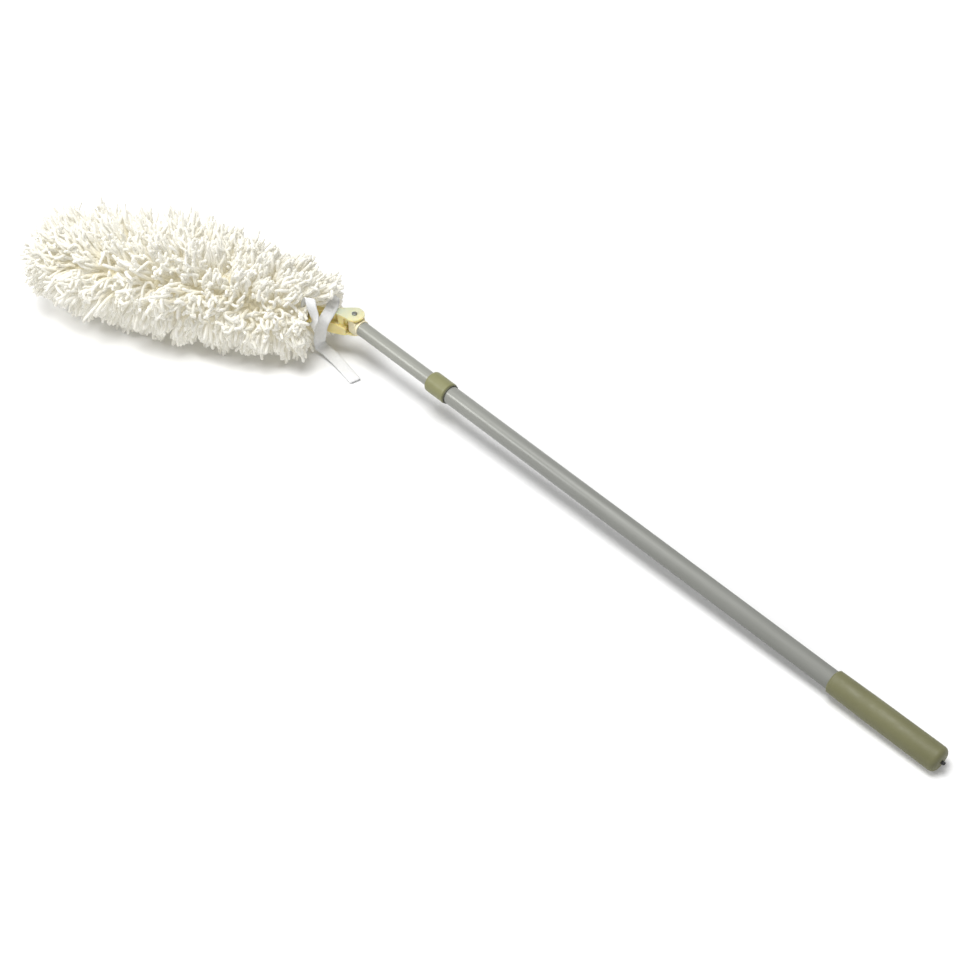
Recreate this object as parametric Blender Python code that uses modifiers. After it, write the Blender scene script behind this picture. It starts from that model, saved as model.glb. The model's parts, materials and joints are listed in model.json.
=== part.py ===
"""High duster: a telescoping pole with a twist lock, a knuckle joint and a yarn cover on a blade.

It lies as it is put down: the grip's end and the cover rest on the floor, and the head is bent to one side.
Pole pieces are placed along the pole's axis, measured from the pivot pin towards the grip.
Head pieces are placed along the head's axis, measured from the pivot pin towards the cover's tip.
"""

import math
import random

import bmesh
import bpy
from mathutils import Matrix, Vector

MM = 0.001

# Clearances, and the reach of cutters past what they cut
GAP = 0.3 * MM
WASHER_GAP = 0.3 * MM
OVERRUN = 1.0 * MM
MERGE_DISTANCE = 0.005 * MM

# Smoothness of round pieces
ROUND_SIDES = 32
SMALL_SIDES = 20
SMOOTH_ANGLE = math.radians(35)

# Pose in which the duster lies
JOINT_HEIGHT = 50.0 * MM
HEAD_BEND = math.radians(29.5)

# Pole tubes
OUTER_DIAMETER = 22.2 * MM
INNER_DIAMETER = 18.2 * MM
TUBE_WALL = 0.8 * MM
OUTER_LENGTH = 722.0 * MM
INNER_LENGTH = 628.0 * MM
INNER_SHOWN = 124.0 * MM

# Grip and the plug under its closed end
GRIP_LENGTH = 136.0 * MM
GRIP_MOUTH_DIAMETER = 26.8 * MM
GRIP_WAIST_DIAMETER = 28.2 * MM
GRIP_END_DIAMETER = 29.0 * MM
GRIP_WAIST_REACH = 48.0 * MM
GRIP_LIP = 1.6 * MM
GRIP_EDGE = 6.0 * MM
GRIP_EDGE_STEPS = 4
GRIP_END_WALL = 3.0 * MM
PLUG_LENGTH = 24.0 * MM
PLUG_HEAD = 2.0 * MM
PLUG_STEM_DIAMETER = 4.0 * MM
PLUG_STEM_REACH = 4.0 * MM

# Lock collar, its seal and the bush inside it
COLLAR_DIAMETER = 26.4 * MM
COLLAR_LENGTH = 31.5 * MM
COLLAR_LIP = 2.5 * MM
COLLAR_NOSE = 3.2 * MM
COLLAR_NOSE_STEPS = 4
COLLAR_BACK_EDGE = 1.2 * MM
SEAL_DIAMETER = 24.8 * MM
SEAL_THICKNESS = 1.4 * MM
BUSH_LENGTH = 9.0 * MM

# Twist lock inside the tubes
LOCK_OFFSET = 0.75 * MM
LOCK_CLEARANCE = 0.25 * MM
LOCK_SPIGOT = 20.0 * MM
LOCK_SHOULDER = 3.0 * MM
JOURNAL_DIAMETER = 8.0 * MM
RING_LENGTH = 14.0 * MM
RING_SLOT = 2.0 * MM
WASHER_DIAMETER = 13.0 * MM
WASHER_THICKNESS = 1.2 * MM
SCREW_DIAMETER = 3.0 * MM
SCREW_LENGTH = 12.0 * MM
SCREW_HEAD_DIAMETER = 6.4 * MM
SCREW_HEAD_HEIGHT = 2.2 * MM

# Knuckle on the pole's end
PIVOT_TO_FLANGE = 11.8 * MM
FLANGE_THICKNESS = 2.0 * MM
FLANGE_DIAMETER = 20.6 * MM
TONGUE_WIDTH = 16.0 * MM
SOCKET_NECK_START = 9.0 * MM
SOCKET_NECK_DIAMETER = 18.4 * MM
SOCKET_NECK_FLARE = 0.7 * MM
SPIGOT_LENGTH = 30.0 * MM

# Pivot pin, its washers and its retaining ring
PIN_DIAMETER = 4.0 * MM
PIN_HEAD_DIAMETER = 6.8 * MM
PIN_HEAD_HEIGHT = 1.6 * MM
PIN_TAIL = 1.0 * MM
PIVOT_WASHER_DIAMETER = 13.4 * MM
PIVOT_WASHER_THICKNESS = 2.0 * MM
RETAINER_DIAMETER = 8.0 * MM
RETAINER_THICKNESS = 1.2 * MM

# Fork and neck of the head frame
FORK_HEIGHT = 30.0 * MM
CHEEK_THICKNESS = 3.0 * MM
CHEEK_STEPS = 16
CHEEK_EDGE = 0.5 * MM
UPPER_CHEEK_RADIUS = 12.4 * MM
UPPER_CHEEK_TURN = math.radians(71)
LOWER_CHEEK_RADIUS = 6.8 * MM
LOWER_CHEEK_WIDTH = 17.0 * MM
FORK_LENGTH = 27.0 * MM
WEB_WIDTH = 4.0 * MM
BLOCK_START = 12.8 * MM
BLOCK_LENGTH = 6.8 * MM
BLOCK_WIDTH = 11.6 * MM
SPINE_START = 24.3 * MM
SPINE_END = 53.0 * MM
SPINE_WIDTH = 7.2 * MM
SPINE_END_LEVEL = 10.0 * MM
BASE_START_WIDTH = 18.0 * MM
BASE_END_WIDTH = 20.0 * MM
BASE_START_LEVEL = -4.0 * MM
BASE_END_LEVEL = 1.5 * MM
NECK_END = 55.0 * MM
NECK_END_WIDTH = 22.0 * MM
NECK_END_HEIGHT = 13.0 * MM

# Blade that carries the cover
BLADE_WIDTH = 28.0 * MM
BLADE_TIP_WIDTH = 22.0 * MM
BLADE_THICKNESS = 5.0 * MM
BLADE_REACH = 366.0 * MM
BLADE_RIB_THICKNESS = 3.0 * MM
BLADE_TIP_STEPS = 8

# Fabric pocket and its hem
POCKET_START = 58.0 * MM
POCKET_WIDTH = 36.4 * MM
POCKET_HEIGHT = 17.6 * MM
POCKET_WALL = 1.2 * MM
POCKET_TIP_CLEARANCE = 3.0 * MM
POCKET_TIP_TAPER = 12.0 * MM
POCKET_TIP_STEPS = 3
HEM_LENGTH = 8.0 * MM
HEM_THICKNESS = 1.4 * MM
HEM_OVERHANG = 1.5 * MM

# Yarn strips: strands of cotton yarn gathered into locks
YARN_ROWS = 20
STRIP_COLUMNS = 3
STRIP_BACKING = 1.5 * MM
LOCK_WIDTH = 8.0 * MM
LOCK_TIP_WIDTH = 4.2 * MM
LOCK_WAIST_SHARE = 0.34
STAGGER_SHARE = 0.25
MOUTH_LEAN = 24.0 * MM
MOUTH_LEAN_SPREAD = 12.0 * MM
MOUTH_LEAN_ANGLE = math.radians(-50)
TIP_LEAN = 48.0 * MM
FLOOR_CLEARANCE = 3.0 * MM
SAG_TURN = math.radians(22)
SAG_START = math.radians(60)
SAG_END = math.radians(95)
SAG_LOSS_SHARE = 0.24
LOCK_JITTER_SHARE = 0.05
YARN_SEED = 7

# Outline of the yarn: radius about the head's axis at its mouth, belly and shoulder, and its reach
MOUTH_REACH = 30.0 * MM
MOUTH_RADIUS = 57.0 * MM
BELLY_SHARE = 0.586
BELLY_RADIUS = 87.0 * MM
SHOULDER_BACK = 62.0 * MM
SHOULDER_RADIUS = 71.0 * MM
TUFT_REACH = 68.0 * MM

# Tuft of yarn on the pocket's closed end
TUFT_ROWS = 5
TUFT_COLUMNS = 3
TUFT_SPREAD = math.radians(34)
TUFT_BACKING = 1.5 * MM
TUFT_EDGE_DROP = 12.0 * MM

# Tie tapes
TAPE_WIDTH = 15.0 * MM
TAPE_THICKNESS = 0.8 * MM
TAPE_STEPS = 40
TAPE_SEWN = 4.0 * MM
TAPE_ROOT_OUT = 8.0 * MM
TAPE_CREST = 3.5 * MM
TAPE_FAR_REACH = 14.5 * MM
TAPE_TAIL_BACK = 17.5 * MM
TAPE_TAIL_OUT = 51.5 * MM
TAPE_TAIL_HEIGHT = 4.6 * MM
LOOP_TAPE_WIDTH = 11.0 * MM
LOOP_REACH = 47.0 * MM
LOOP_RISE = 46.0 * MM
LOOP_OUT = 35.0 * MM

# Long tape beyond its seam, as shares of the way from tail to hem, from far side to near side and from
# tail to crest, and the directions of its width, the fold's being aslant
TAPE_ROUTE_SHARES = (
    (0.912, 0.0379, 0.977), (0.804, 0, 1), (0.716, 0.053, 1), (0.669, 0.189, 0.998),
    (0.662, 0.333, 0.958), (0.697, 0.432, 0.851), (0.734, 0.462, 0.71), (0.77, 0.459, 0.491),
    (0.804, 0.432, 0.288), (0.818, 0.379, 0.131), (0.791, 0.371, 0.0767), (0.696, 0.414, 0.0376),
    (0.399, 0.621, -0.0156), (0, 1, 0))
TAPE_ACROSS_SHARES = (
    (-0.25, 0.94, 0.21), (0.07, 1.00, 0.05), (0.78, 0.62, 0.0), (0.98, 0.21, -0.01), (0.98, -0.03, 0.17),
    (0.96, -0.20, 0.21), (0.97, -0.09, 0.22), (0.98, -0.05, 0.19), (0.98, 0.19, 0.11),
    (0.66, 0.62, -0.66), (0.50, 0.75, -0.62), (0.52, 0.78, -0.36), (0.60, 0.79, -0.10),
    (0.65, 0.76, 0.0))

# Short tape beyond its seam, as shares of the way from loop to hem, of its reach outwards and of its rise
LOOP_ROUTE_SHARES = (
    (0.737, 0.371, 0.652), (0.211, 0.429, 0.913), (0.0, 0.686, 1.0), (0.105, 0.943, 0.783), (0.421, 1.0, 0.391),
    (0.737, 0.857, 0.087))
LOOP_ACROSS_SHARES = (
    (0.33, 0.94, -0.09), (0.89, 0.46, 0.07), (1.0, 0.06, 0.01), (0.99, -0.05, 0.12), (0.98, 0.02, 0.18),
    (0.98, 0.07, 0.19))

# Colours as linear red, green and blue
TUBE_GREY = (0.38, 0.38, 0.35)
OLIVE = (0.31, 0.33, 0.16)
GRIP_OLIVE = (0.24, 0.24, 0.12)
BLACK = (0.02, 0.02, 0.02)
NYLON_WHITE = (0.75, 0.75, 0.70)
STEEL = (0.42, 0.42, 0.42)
PIN_GREY = (0.12, 0.12, 0.12)
PALE_YELLOW = (0.76, 0.68, 0.30)
CANVAS = (0.72, 0.70, 0.62)
YARN_WHITE = (0.86, 0.84, 0.76)
TAPE_WHITE = (0.84, 0.84, 0.84)

# Places along the pole, from the pivot pin
FLANGE_END = PIVOT_TO_FLANGE + FLANGE_THICKNESS
INNER_START = FLANGE_END + GAP
INNER_END = INNER_START + INNER_LENGTH
COLLAR_START = FLANGE_END + INNER_SHOWN
COLLAR_END = COLLAR_START + COLLAR_LENGTH
BUSH_START = COLLAR_START + COLLAR_LIP + GAP
OUTER_START = BUSH_START + BUSH_LENGTH + GAP
OUTER_END = OUTER_START + OUTER_LENGTH
PLUG_HEAD_START = OUTER_END + GAP
GRIP_END_START = PLUG_HEAD_START + PLUG_HEAD + GAP
GRIP_END = GRIP_END_START + GRIP_END_WALL
GRIP_START = GRIP_END - GRIP_LENGTH

# Radii of the pole and its lock
OUTER_RADIUS = OUTER_DIAMETER / 2
OUTER_BORE = OUTER_RADIUS - TUBE_WALL
INNER_RADIUS = INNER_DIAMETER / 2
INNER_BORE = INNER_RADIUS - TUBE_WALL
JOURNAL_RADIUS = JOURNAL_DIAMETER / 2
RING_RADIUS = OUTER_BORE - 2 * LOCK_OFFSET - LOCK_CLEARANCE
LOCK_SHOULDER_START = INNER_END + GAP
JOURNAL_START = LOCK_SHOULDER_START + LOCK_SHOULDER
RING_START = JOURNAL_START + GAP
JOURNAL_END = RING_START + RING_LENGTH + GAP

# Levels and half sizes of the knuckle
FORK_HALF = FORK_HEIGHT / 2
CHEEK_INSIDE = FORK_HALF - CHEEK_THICKNESS
TONGUE_HALF = CHEEK_INSIDE - PIVOT_WASHER_THICKNESS - 2 * WASHER_GAP
TONGUE_RADIUS = TONGUE_WIDTH / 2
PIN_RADIUS = PIN_DIAMETER / 2
WEB_START = TONGUE_RADIUS + 4 * GAP

# Places along the head, from the pivot pin
POCKET_END = BLADE_REACH + POCKET_TIP_CLEARANCE
HEM_START = POCKET_START - HEM_OVERHANG
HEM_END = HEM_START + HEM_LENGTH
YARN_START = HEM_END + 2 * GAP
YARN_END = POCKET_END - POCKET_TIP_TAPER
TUFT_START = POCKET_END + GAP
YARN_REACH = POCKET_END + TUFT_REACH
SHOULDER_REACH = YARN_REACH - SHOULDER_BACK
BELLY_REACH = MOUTH_REACH + (SHOULDER_REACH - MOUTH_REACH) * BELLY_SHARE

# Half sizes of the pocket and of what goes round it
POCKET_HALF_WIDTH = POCKET_WIDTH / 2
POCKET_HALF_HEIGHT = POCKET_HEIGHT / 2
BACKING_HALF_WIDTH = POCKET_HALF_WIDTH + GAP + STRIP_BACKING
BACKING_HALF_HEIGHT = POCKET_HALF_HEIGHT + GAP + STRIP_BACKING
BLADE_RIB_HALF = POCKET_HALF_HEIGHT - POCKET_WALL - GAP

STRIPS = ("yarn_top", "yarn_near_upper", "yarn_near_lower", "yarn_bottom", "yarn_far_lower", "yarn_far_upper")
COLUMN_ANGLE = math.tau / (len(STRIPS) * STRIP_COLUMNS)

ALONG_AXIS = Matrix.Rotation(math.pi / 2, 4, "Y")


# The scene, its collections and placing

def clear_scene():
    for obj in list(bpy.data.objects):
        bpy.data.objects.remove(obj, do_unlink=True)
    for collection in list(bpy.data.collections):
        bpy.data.collections.remove(collection)


def collection_named(name):
    collection = bpy.data.collections.new(name)
    bpy.context.scene.collection.children.link(collection)
    return collection


def empty(name, parent, matrix):
    obj = bpy.data.objects.new(name, None)
    PARTS.objects.link(obj)
    obj.parent = parent
    obj.matrix_basis = matrix
    return obj


def add_object(name, data, parent, matrix=None):
    obj = bpy.data.objects.new(name, data)
    PARTS.objects.link(obj)
    obj.parent = parent
    obj.matrix_basis = matrix or Matrix()
    return obj


def finish(obj, colour, roughness, metallic=0.0):
    material = bpy.data.materials.new(obj.name + "_material")
    material.use_nodes = True
    shader = material.node_tree.nodes["Principled BSDF"]
    shader.inputs["Base Color"].default_value = (*colour, 1.0)
    shader.inputs["Roughness"].default_value = roughness
    shader.inputs["Metallic"].default_value = metallic
    obj.data.materials.clear()
    obj.data.materials.append(material)
    return obj


def as_tool(obj):
    """Make an object a cutter or a shape that another piece absorbs."""
    PARTS.objects.unlink(obj)
    TOOLS.objects.link(obj)
    obj.hide_render = True
    obj.display_type = "WIRE"


def combine(obj, other, operation):
    modifier = obj.modifiers.new(operation.lower() + "_" + other.name, "BOOLEAN")
    modifier.operation = operation
    modifier.solver = "EXACT"
    modifier.object = other
    as_tool(other)


def baked(obj):
    """Turn a curve or a piece with modifiers into a plain mesh object in the same place."""
    bpy.context.view_layer.update()
    evaluated = obj.evaluated_get(bpy.context.evaluated_depsgraph_get())
    mesh = bpy.data.meshes.new_from_object(evaluated)
    shape = bmesh.new()
    shape.from_mesh(mesh)
    bmesh.ops.remove_doubles(shape, verts=shape.verts, dist=MERGE_DISTANCE)
    shape.to_mesh(mesh)
    shape.free()
    name, parent, matrix = obj.name, obj.parent, obj.matrix_basis.copy()
    bpy.data.objects.remove(obj, do_unlink=True)
    return add_object(name, mesh, parent, matrix)


# Shapes

def turned(name, profile, parent, centre=(0, 0), ring=False, sides=ROUND_SIDES):
    """Turn a profile of (radius, place) pairs, given along its outer side, about the parent's X axis."""
    count = len(profile)
    points = [(radius, 0, place) for radius, place in reversed(profile)]
    edges = [(i, i + 1) for i in range(count - 1)]
    if ring:
        edges.append((count - 1, 0))
    mesh = bpy.data.meshes.new(name)
    mesh.from_pydata(points, edges, [])
    obj = add_object(name, mesh, parent, Matrix.Translation((0, *centre)) @ ALONG_AXIS)
    screw = obj.modifiers.new("turn", "SCREW")
    screw.axis = "Z"
    screw.angle = math.tau
    screw.steps = sides
    screw.render_steps = sides
    screw.use_merge_vertices = True
    screw.merge_threshold = MERGE_DISTANCE
    screw.use_smooth_shade = False
    return obj


def turned_upright(name, profile, parent, sides=SMALL_SIDES, ring=False):
    """Turn a profile about the parent's Z axis through the pivot."""
    obj = turned(name, profile, parent, ring=ring, sides=sides)
    obj.matrix_basis = Matrix()
    return obj


def tube_profile(outer, inner, start, end):
    return [(outer, start), (outer, end), (inner, end), (inner, start)]


def smooth(obj):
    obj = baked(obj)
    obj.data.shade_smooth()
    obj.data.set_sharp_from_angle(angle=SMOOTH_ANGLE)
    return obj


def box(name, low, high, parent):
    """A cube between two corners."""
    shape = bmesh.new()
    bmesh.ops.create_cube(shape, size=1)
    low, high = Vector(low), Vector(high)
    for vertex in shape.verts:
        share = vertex.co + Vector((0.5, 0.5, 0.5))
        vertex.co = Vector(low[i] + (high[i] - low[i]) * share[i] for i in range(3))
    mesh = bpy.data.meshes.new(name)
    shape.to_mesh(mesh)
    shape.free()
    return add_object(name, mesh, parent)


def plate(name, outline, thickness, level, parent):
    """A flat outline in the XY plane with a thickness, its middle at a level."""
    curve = bpy.data.curves.new(name, "CURVE")
    curve.dimensions = "2D"
    curve.fill_mode = "BOTH"
    curve.extrude = thickness / 2
    spline = curve.splines.new("POLY")
    spline.points.add(len(outline) - 1)
    for point, (x, y) in zip(spline.points, outline):
        point.co = (x, y, 0, 1)
    spline.use_cyclic_u = True
    return baked(add_object(name, curve, parent, Matrix.Translation((0, 0, level))))


def arc(centre_x, centre_y, radius, start, end, steps):
    angles = [start + (end - start) * i / steps for i in range(steps + 1)]
    return [(centre_x + radius * math.cos(a), centre_y + radius * math.sin(a)) for a in angles]


# Fixed half of the pole

def make_outer_tube(pole):
    profile = tube_profile(OUTER_RADIUS, OUTER_BORE, OUTER_START, OUTER_END)
    finish(smooth(turned("outer_tube", profile, pole, ring=True)), TUBE_GREY, 0.38, 0.35)


def make_grip(pole):
    end_radius = GRIP_END_DIAMETER / 2
    bore = OUTER_RADIUS + GAP
    hole = PLUG_STEM_DIAMETER / 2 + GAP
    edge = arc(GRIP_END - GRIP_EDGE, end_radius - GRIP_EDGE, GRIP_EDGE, math.pi / 2, 0, GRIP_EDGE_STEPS)
    profile = [
        (GRIP_MOUTH_DIAMETER / 2 - GRIP_LIP, GRIP_START),
        (GRIP_MOUTH_DIAMETER / 2, GRIP_START + GRIP_LIP),
        (GRIP_WAIST_DIAMETER / 2, GRIP_START + GRIP_WAIST_REACH),
        *[(radius, place) for place, radius in edge],
        (hole, GRIP_END),
        (hole, GRIP_END_START),
        (bore, GRIP_END_START),
        (bore, GRIP_START),
    ]
    finish(smooth(turned("grip_sleeve", profile, pole, ring=True)), GRIP_OLIVE, 0.5)


def make_end_plug(pole):
    stem = PLUG_STEM_DIAMETER / 2
    profile = [
        (0, PLUG_HEAD_START - PLUG_LENGTH),
        (OUTER_BORE - GAP, PLUG_HEAD_START - PLUG_LENGTH),
        (OUTER_BORE - GAP, PLUG_HEAD_START),
        (OUTER_RADIUS - GAP, PLUG_HEAD_START),
        (OUTER_RADIUS - GAP, PLUG_HEAD_START + PLUG_HEAD),
        (stem, PLUG_HEAD_START + PLUG_HEAD),
        (stem, GRIP_END + PLUG_STEM_REACH - stem / 2),
        (stem / 2, GRIP_END + PLUG_STEM_REACH),
        (0, GRIP_END + PLUG_STEM_REACH),
    ]
    finish(smooth(turned("end_plug", profile, pole, sides=SMALL_SIDES)), BLACK, 0.5)


def make_collar(pole):
    radius = COLLAR_DIAMETER / 2
    bore = OUTER_RADIUS + GAP
    centre = COLLAR_START + COLLAR_NOSE, radius - COLLAR_NOSE
    nose = arc(*centre, COLLAR_NOSE, math.pi, math.pi / 2, COLLAR_NOSE_STEPS)
    profile = [
        *[(level, place) for place, level in nose],
        (radius, COLLAR_END - COLLAR_BACK_EDGE),
        (radius - COLLAR_BACK_EDGE, COLLAR_END),
        (bore, COLLAR_END),
        (bore, COLLAR_START + COLLAR_LIP),
        (INNER_RADIUS + 2 * GAP, COLLAR_START + COLLAR_LIP),
        (INNER_RADIUS + 2 * GAP, COLLAR_START),
    ]
    finish(smooth(turned("lock_collar", profile, pole, ring=True)), OLIVE, 0.42)
    seal = tube_profile(SEAL_DIAMETER / 2, bore, COLLAR_END + GAP, COLLAR_END + GAP + SEAL_THICKNESS)
    finish(smooth(turned("collar_seal", seal, pole, ring=True)), BLACK, 0.6)


# Sliding half of the pole

def make_guide_bush(pole):
    profile = tube_profile(OUTER_RADIUS, INNER_RADIUS + GAP, BUSH_START, BUSH_START + BUSH_LENGTH)
    finish(smooth(turned("guide_bush", profile, pole, ring=True)), NYLON_WHITE, 0.45)


def make_inner_tube(pole):
    profile = tube_profile(INNER_RADIUS, INNER_BORE, INNER_START, INNER_END)
    finish(smooth(turned("inner_tube", profile, pole, ring=True)), TUBE_GREY, 0.36, 0.35)


def make_twist_lock(pole):
    screw_radius = SCREW_DIAMETER / 2
    washer_start = JOURNAL_END + GAP
    head_start = washer_start + WASHER_THICKNESS + GAP
    off_axis = (LOCK_OFFSET, 0)

    body = [
        (0, INNER_END - LOCK_SPIGOT),
        (INNER_BORE - GAP, INNER_END - LOCK_SPIGOT),
        (INNER_BORE - GAP, LOCK_SHOULDER_START),
        (INNER_RADIUS, LOCK_SHOULDER_START),
        (INNER_RADIUS, JOURNAL_START),
        (0, JOURNAL_START),
    ]
    plug = turned("lock_plug", body, pole, sides=SMALL_SIDES)
    journal = [(0, JOURNAL_START - OVERRUN), (JOURNAL_RADIUS, JOURNAL_START - OVERRUN)]
    journal += [(JOURNAL_RADIUS, JOURNAL_END), (0, JOURNAL_END)]
    combine(plug, turned("journal", journal, pole, off_axis, sides=SMALL_SIDES), "UNION")
    hole_start = head_start - SCREW_LENGTH - 2 * GAP
    hole = [(0, hole_start), (screw_radius + GAP, hole_start)]
    hole += [(screw_radius + GAP, JOURNAL_END + OVERRUN), (0, JOURNAL_END + OVERRUN)]
    combine(plug, turned("screw_hole", hole, pole, off_axis, sides=SMALL_SIDES), "DIFFERENCE")
    finish(smooth(plug), NYLON_WHITE, 0.45)

    washer = tube_profile(WASHER_DIAMETER / 2, screw_radius + GAP, washer_start, washer_start + WASHER_THICKNESS)
    finish(smooth(turned("cam_washer", washer, pole, off_axis, ring=True, sides=SMALL_SIDES)), STEEL, 0.3, 1.0)
    screw = [
        (0, head_start - SCREW_LENGTH),
        (screw_radius, head_start - SCREW_LENGTH),
        (screw_radius, head_start),
        (SCREW_HEAD_DIAMETER / 2, head_start),
        (SCREW_HEAD_DIAMETER / 2, head_start + SCREW_HEAD_HEIGHT / 2),
        (SCREW_HEAD_DIAMETER / 3, head_start + SCREW_HEAD_HEIGHT),
        (0, head_start + SCREW_HEAD_HEIGHT),
    ]
    finish(smooth(turned("cam_screw", screw, pole, off_axis, sides=SMALL_SIDES)), STEEL, 0.3, 1.0)


def make_cam_ring(pole):
    cam = empty("cam_axis", pole, Matrix.Translation((0, LOCK_OFFSET, 0)))
    outside = [(0, RING_START), (RING_RADIUS, RING_START)]
    outside += [(RING_RADIUS, RING_START + RING_LENGTH), (0, RING_START + RING_LENGTH)]
    ring = turned("cam_ring", outside, cam, (-LOCK_OFFSET, 0))
    ring_end = RING_START + RING_LENGTH + OVERRUN
    bore = [(0, RING_START - OVERRUN), (JOURNAL_RADIUS + GAP, RING_START - OVERRUN)]
    bore += [(JOURNAL_RADIUS + GAP, ring_end), (0, ring_end)]
    combine(ring, turned("ring_bore", bore, cam, sides=SMALL_SIDES), "DIFFERENCE")
    slot_low = (RING_START - OVERRUN, JOURNAL_RADIUS / 2, -RING_SLOT / 2)
    slot_high = (ring_end, OUTER_BORE, RING_SLOT / 2)
    combine(ring, box("ring_slot", slot_low, slot_high, cam), "DIFFERENCE")
    finish(smooth(ring), NYLON_WHITE, 0.5)


def make_pivot_socket(pole):
    neck = SOCKET_NECK_DIAMETER / 2
    body = [
        (0, SOCKET_NECK_START),
        (neck, SOCKET_NECK_START),
        (neck + SOCKET_NECK_FLARE, PIVOT_TO_FLANGE),
        (FLANGE_DIAMETER / 2, PIVOT_TO_FLANGE),
        (FLANGE_DIAMETER / 2, FLANGE_END),
        (INNER_BORE - GAP, FLANGE_END),
        (INNER_BORE - GAP, FLANGE_END + SPIGOT_LENGTH),
        (0, FLANGE_END + SPIGOT_LENGTH),
    ]
    socket = turned("pivot_socket", body, pole)
    half_turn = arc(0, 0, TONGUE_RADIUS, math.pi / 2, 3 * math.pi / 2, SMALL_SIDES // 2)
    root = SOCKET_NECK_START + OVERRUN
    outline = half_turn + [(root, -TONGUE_RADIUS), (root, TONGUE_RADIUS)]
    combine(socket, plate("tongue", outline, 2 * TONGUE_HALF, 0, pole), "UNION")
    reach = TONGUE_HALF + OVERRUN
    hole = [(0, -reach), (PIN_RADIUS + GAP, -reach), (PIN_RADIUS + GAP, reach), (0, reach)]
    combine(socket, turned_upright("socket_hole", hole, pole), "DIFFERENCE")
    finish(smooth(socket), PALE_YELLOW, 0.42)


def make_friction_washers(pole):
    start = TONGUE_HALF + WASHER_GAP
    end = start + PIVOT_WASHER_THICKNESS
    radius = PIVOT_WASHER_DIAMETER / 2
    upper = tube_profile(radius, PIN_RADIUS + GAP, start, end)
    lower = tube_profile(radius, PIN_RADIUS + GAP, -end, -start)
    finish(smooth(turned_upright("friction_washer_upper", upper, pole, ring=True)), NYLON_WHITE, 0.4)
    finish(smooth(turned_upright("friction_washer_lower", lower, pole, ring=True)), NYLON_WHITE, 0.4)


# Head frame and its pin

def make_pivot_pin(head):
    top = FORK_HALF + GAP
    retainer_top = -FORK_HALF - GAP
    tail = retainer_top - RETAINER_THICKNESS - PIN_TAIL
    pin = [
        (0, tail),
        (PIN_RADIUS, tail),
        (PIN_RADIUS, top),
        (PIN_HEAD_DIAMETER / 2, top),
        (PIN_HEAD_DIAMETER / 2, top + PIN_HEAD_HEIGHT / 2),
        (PIN_HEAD_DIAMETER / 3, top + PIN_HEAD_HEIGHT),
        (0, top + PIN_HEAD_HEIGHT),
    ]
    finish(smooth(turned_upright("pivot_pin", pin, head)), PIN_GREY, 0.35, 0.9)
    ring = tube_profile(RETAINER_DIAMETER / 2, PIN_RADIUS + GAP, retainer_top - RETAINER_THICKNESS, retainer_top)
    finish(smooth(turned_upright("pin_retainer", ring, head, ring=True)), STEEL, 0.35, 1.0)


def cheek_outline(radius, turn, end_half):
    """A round end about the pin, drawn out to a width at the fork's root."""
    round_end = arc(0, 0, radius, turn, math.tau - turn, CHEEK_STEPS)
    return round_end + [(FORK_LENGTH, -end_half), (FORK_LENGTH, end_half)]


def make_cheek(name, side, outline, head):
    cheek = plate(name, outline, CHEEK_THICKNESS, side * (FORK_HALF - CHEEK_THICKNESS / 2), head)
    bevel = cheek.modifiers.new("edge", "BEVEL")
    bevel.width = CHEEK_EDGE
    bevel.segments = 1
    return cheek


def tapered(name, start, end, parent):
    """A block between two cross-sections, each given as place, half width, bottom and top."""
    block = box(name, (0, -1, 0), (1, 1, 1), parent)
    for vertex in block.data.vertices:
        place, half, bottom, top = end if vertex.co.x > 0.5 else start
        vertex.co = (place, vertex.co.y * half, top if vertex.co.z > 0.5 else bottom)
    return block


def fork_pieces(head):
    """Cheeks, block, base and spine round the web, and the neck down to the blade's root."""
    inside = FORK_HALF - CHEEK_THICKNESS / 2
    bottom = -FORK_HALF + GAP / 3
    upper = cheek_outline(UPPER_CHEEK_RADIUS, UPPER_CHEEK_TURN, SPINE_WIDTH / 2)
    lower = cheek_outline(LOWER_CHEEK_RADIUS, math.pi / 2, LOWER_CHEEK_WIDTH / 2)
    block_low = (BLOCK_START, -BLOCK_WIDTH / 2, -inside)
    block_high = (BLOCK_START + BLOCK_LENGTH, BLOCK_WIDTH / 2, inside)
    base_start = WEB_START, BASE_START_WIDTH / 2, bottom, BASE_START_LEVEL
    base_end = FORK_LENGTH, BASE_END_WIDTH / 2, bottom, BASE_END_LEVEL
    root = NECK_END, NECK_END_WIDTH / 2, -NECK_END_HEIGHT / 2, NECK_END_HEIGHT / 2
    spine_start = SPINE_START, SPINE_WIDTH / 2, -inside, FORK_HALF - GAP / 3
    spine_end = SPINE_END, SPINE_WIDTH / 2, 0, SPINE_END_LEVEL
    return [
        make_cheek("cheek_upper", 1, upper, head),
        make_cheek("cheek_lower", -1, lower, head),
        box("block", block_low, block_high, head),
        tapered("base", base_start, base_end, head),
        tapered("neck", base_end, root, head),
        tapered("spine", spine_start, spine_end, head),
    ]


def blade_outline():
    root, tip = BLADE_WIDTH / 2, BLADE_TIP_WIDTH / 2
    start = NECK_END - OVERRUN - CHEEK_THICKNESS
    end = arc(BLADE_REACH - tip, 0, tip, -math.pi / 2, math.pi / 2, BLADE_TIP_STEPS)
    return [(start, -NECK_END_WIDTH / 2 + GAP), (NECK_END, -root), *end, (NECK_END, root),
            (start, NECK_END_WIDTH / 2 - GAP)]


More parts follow.
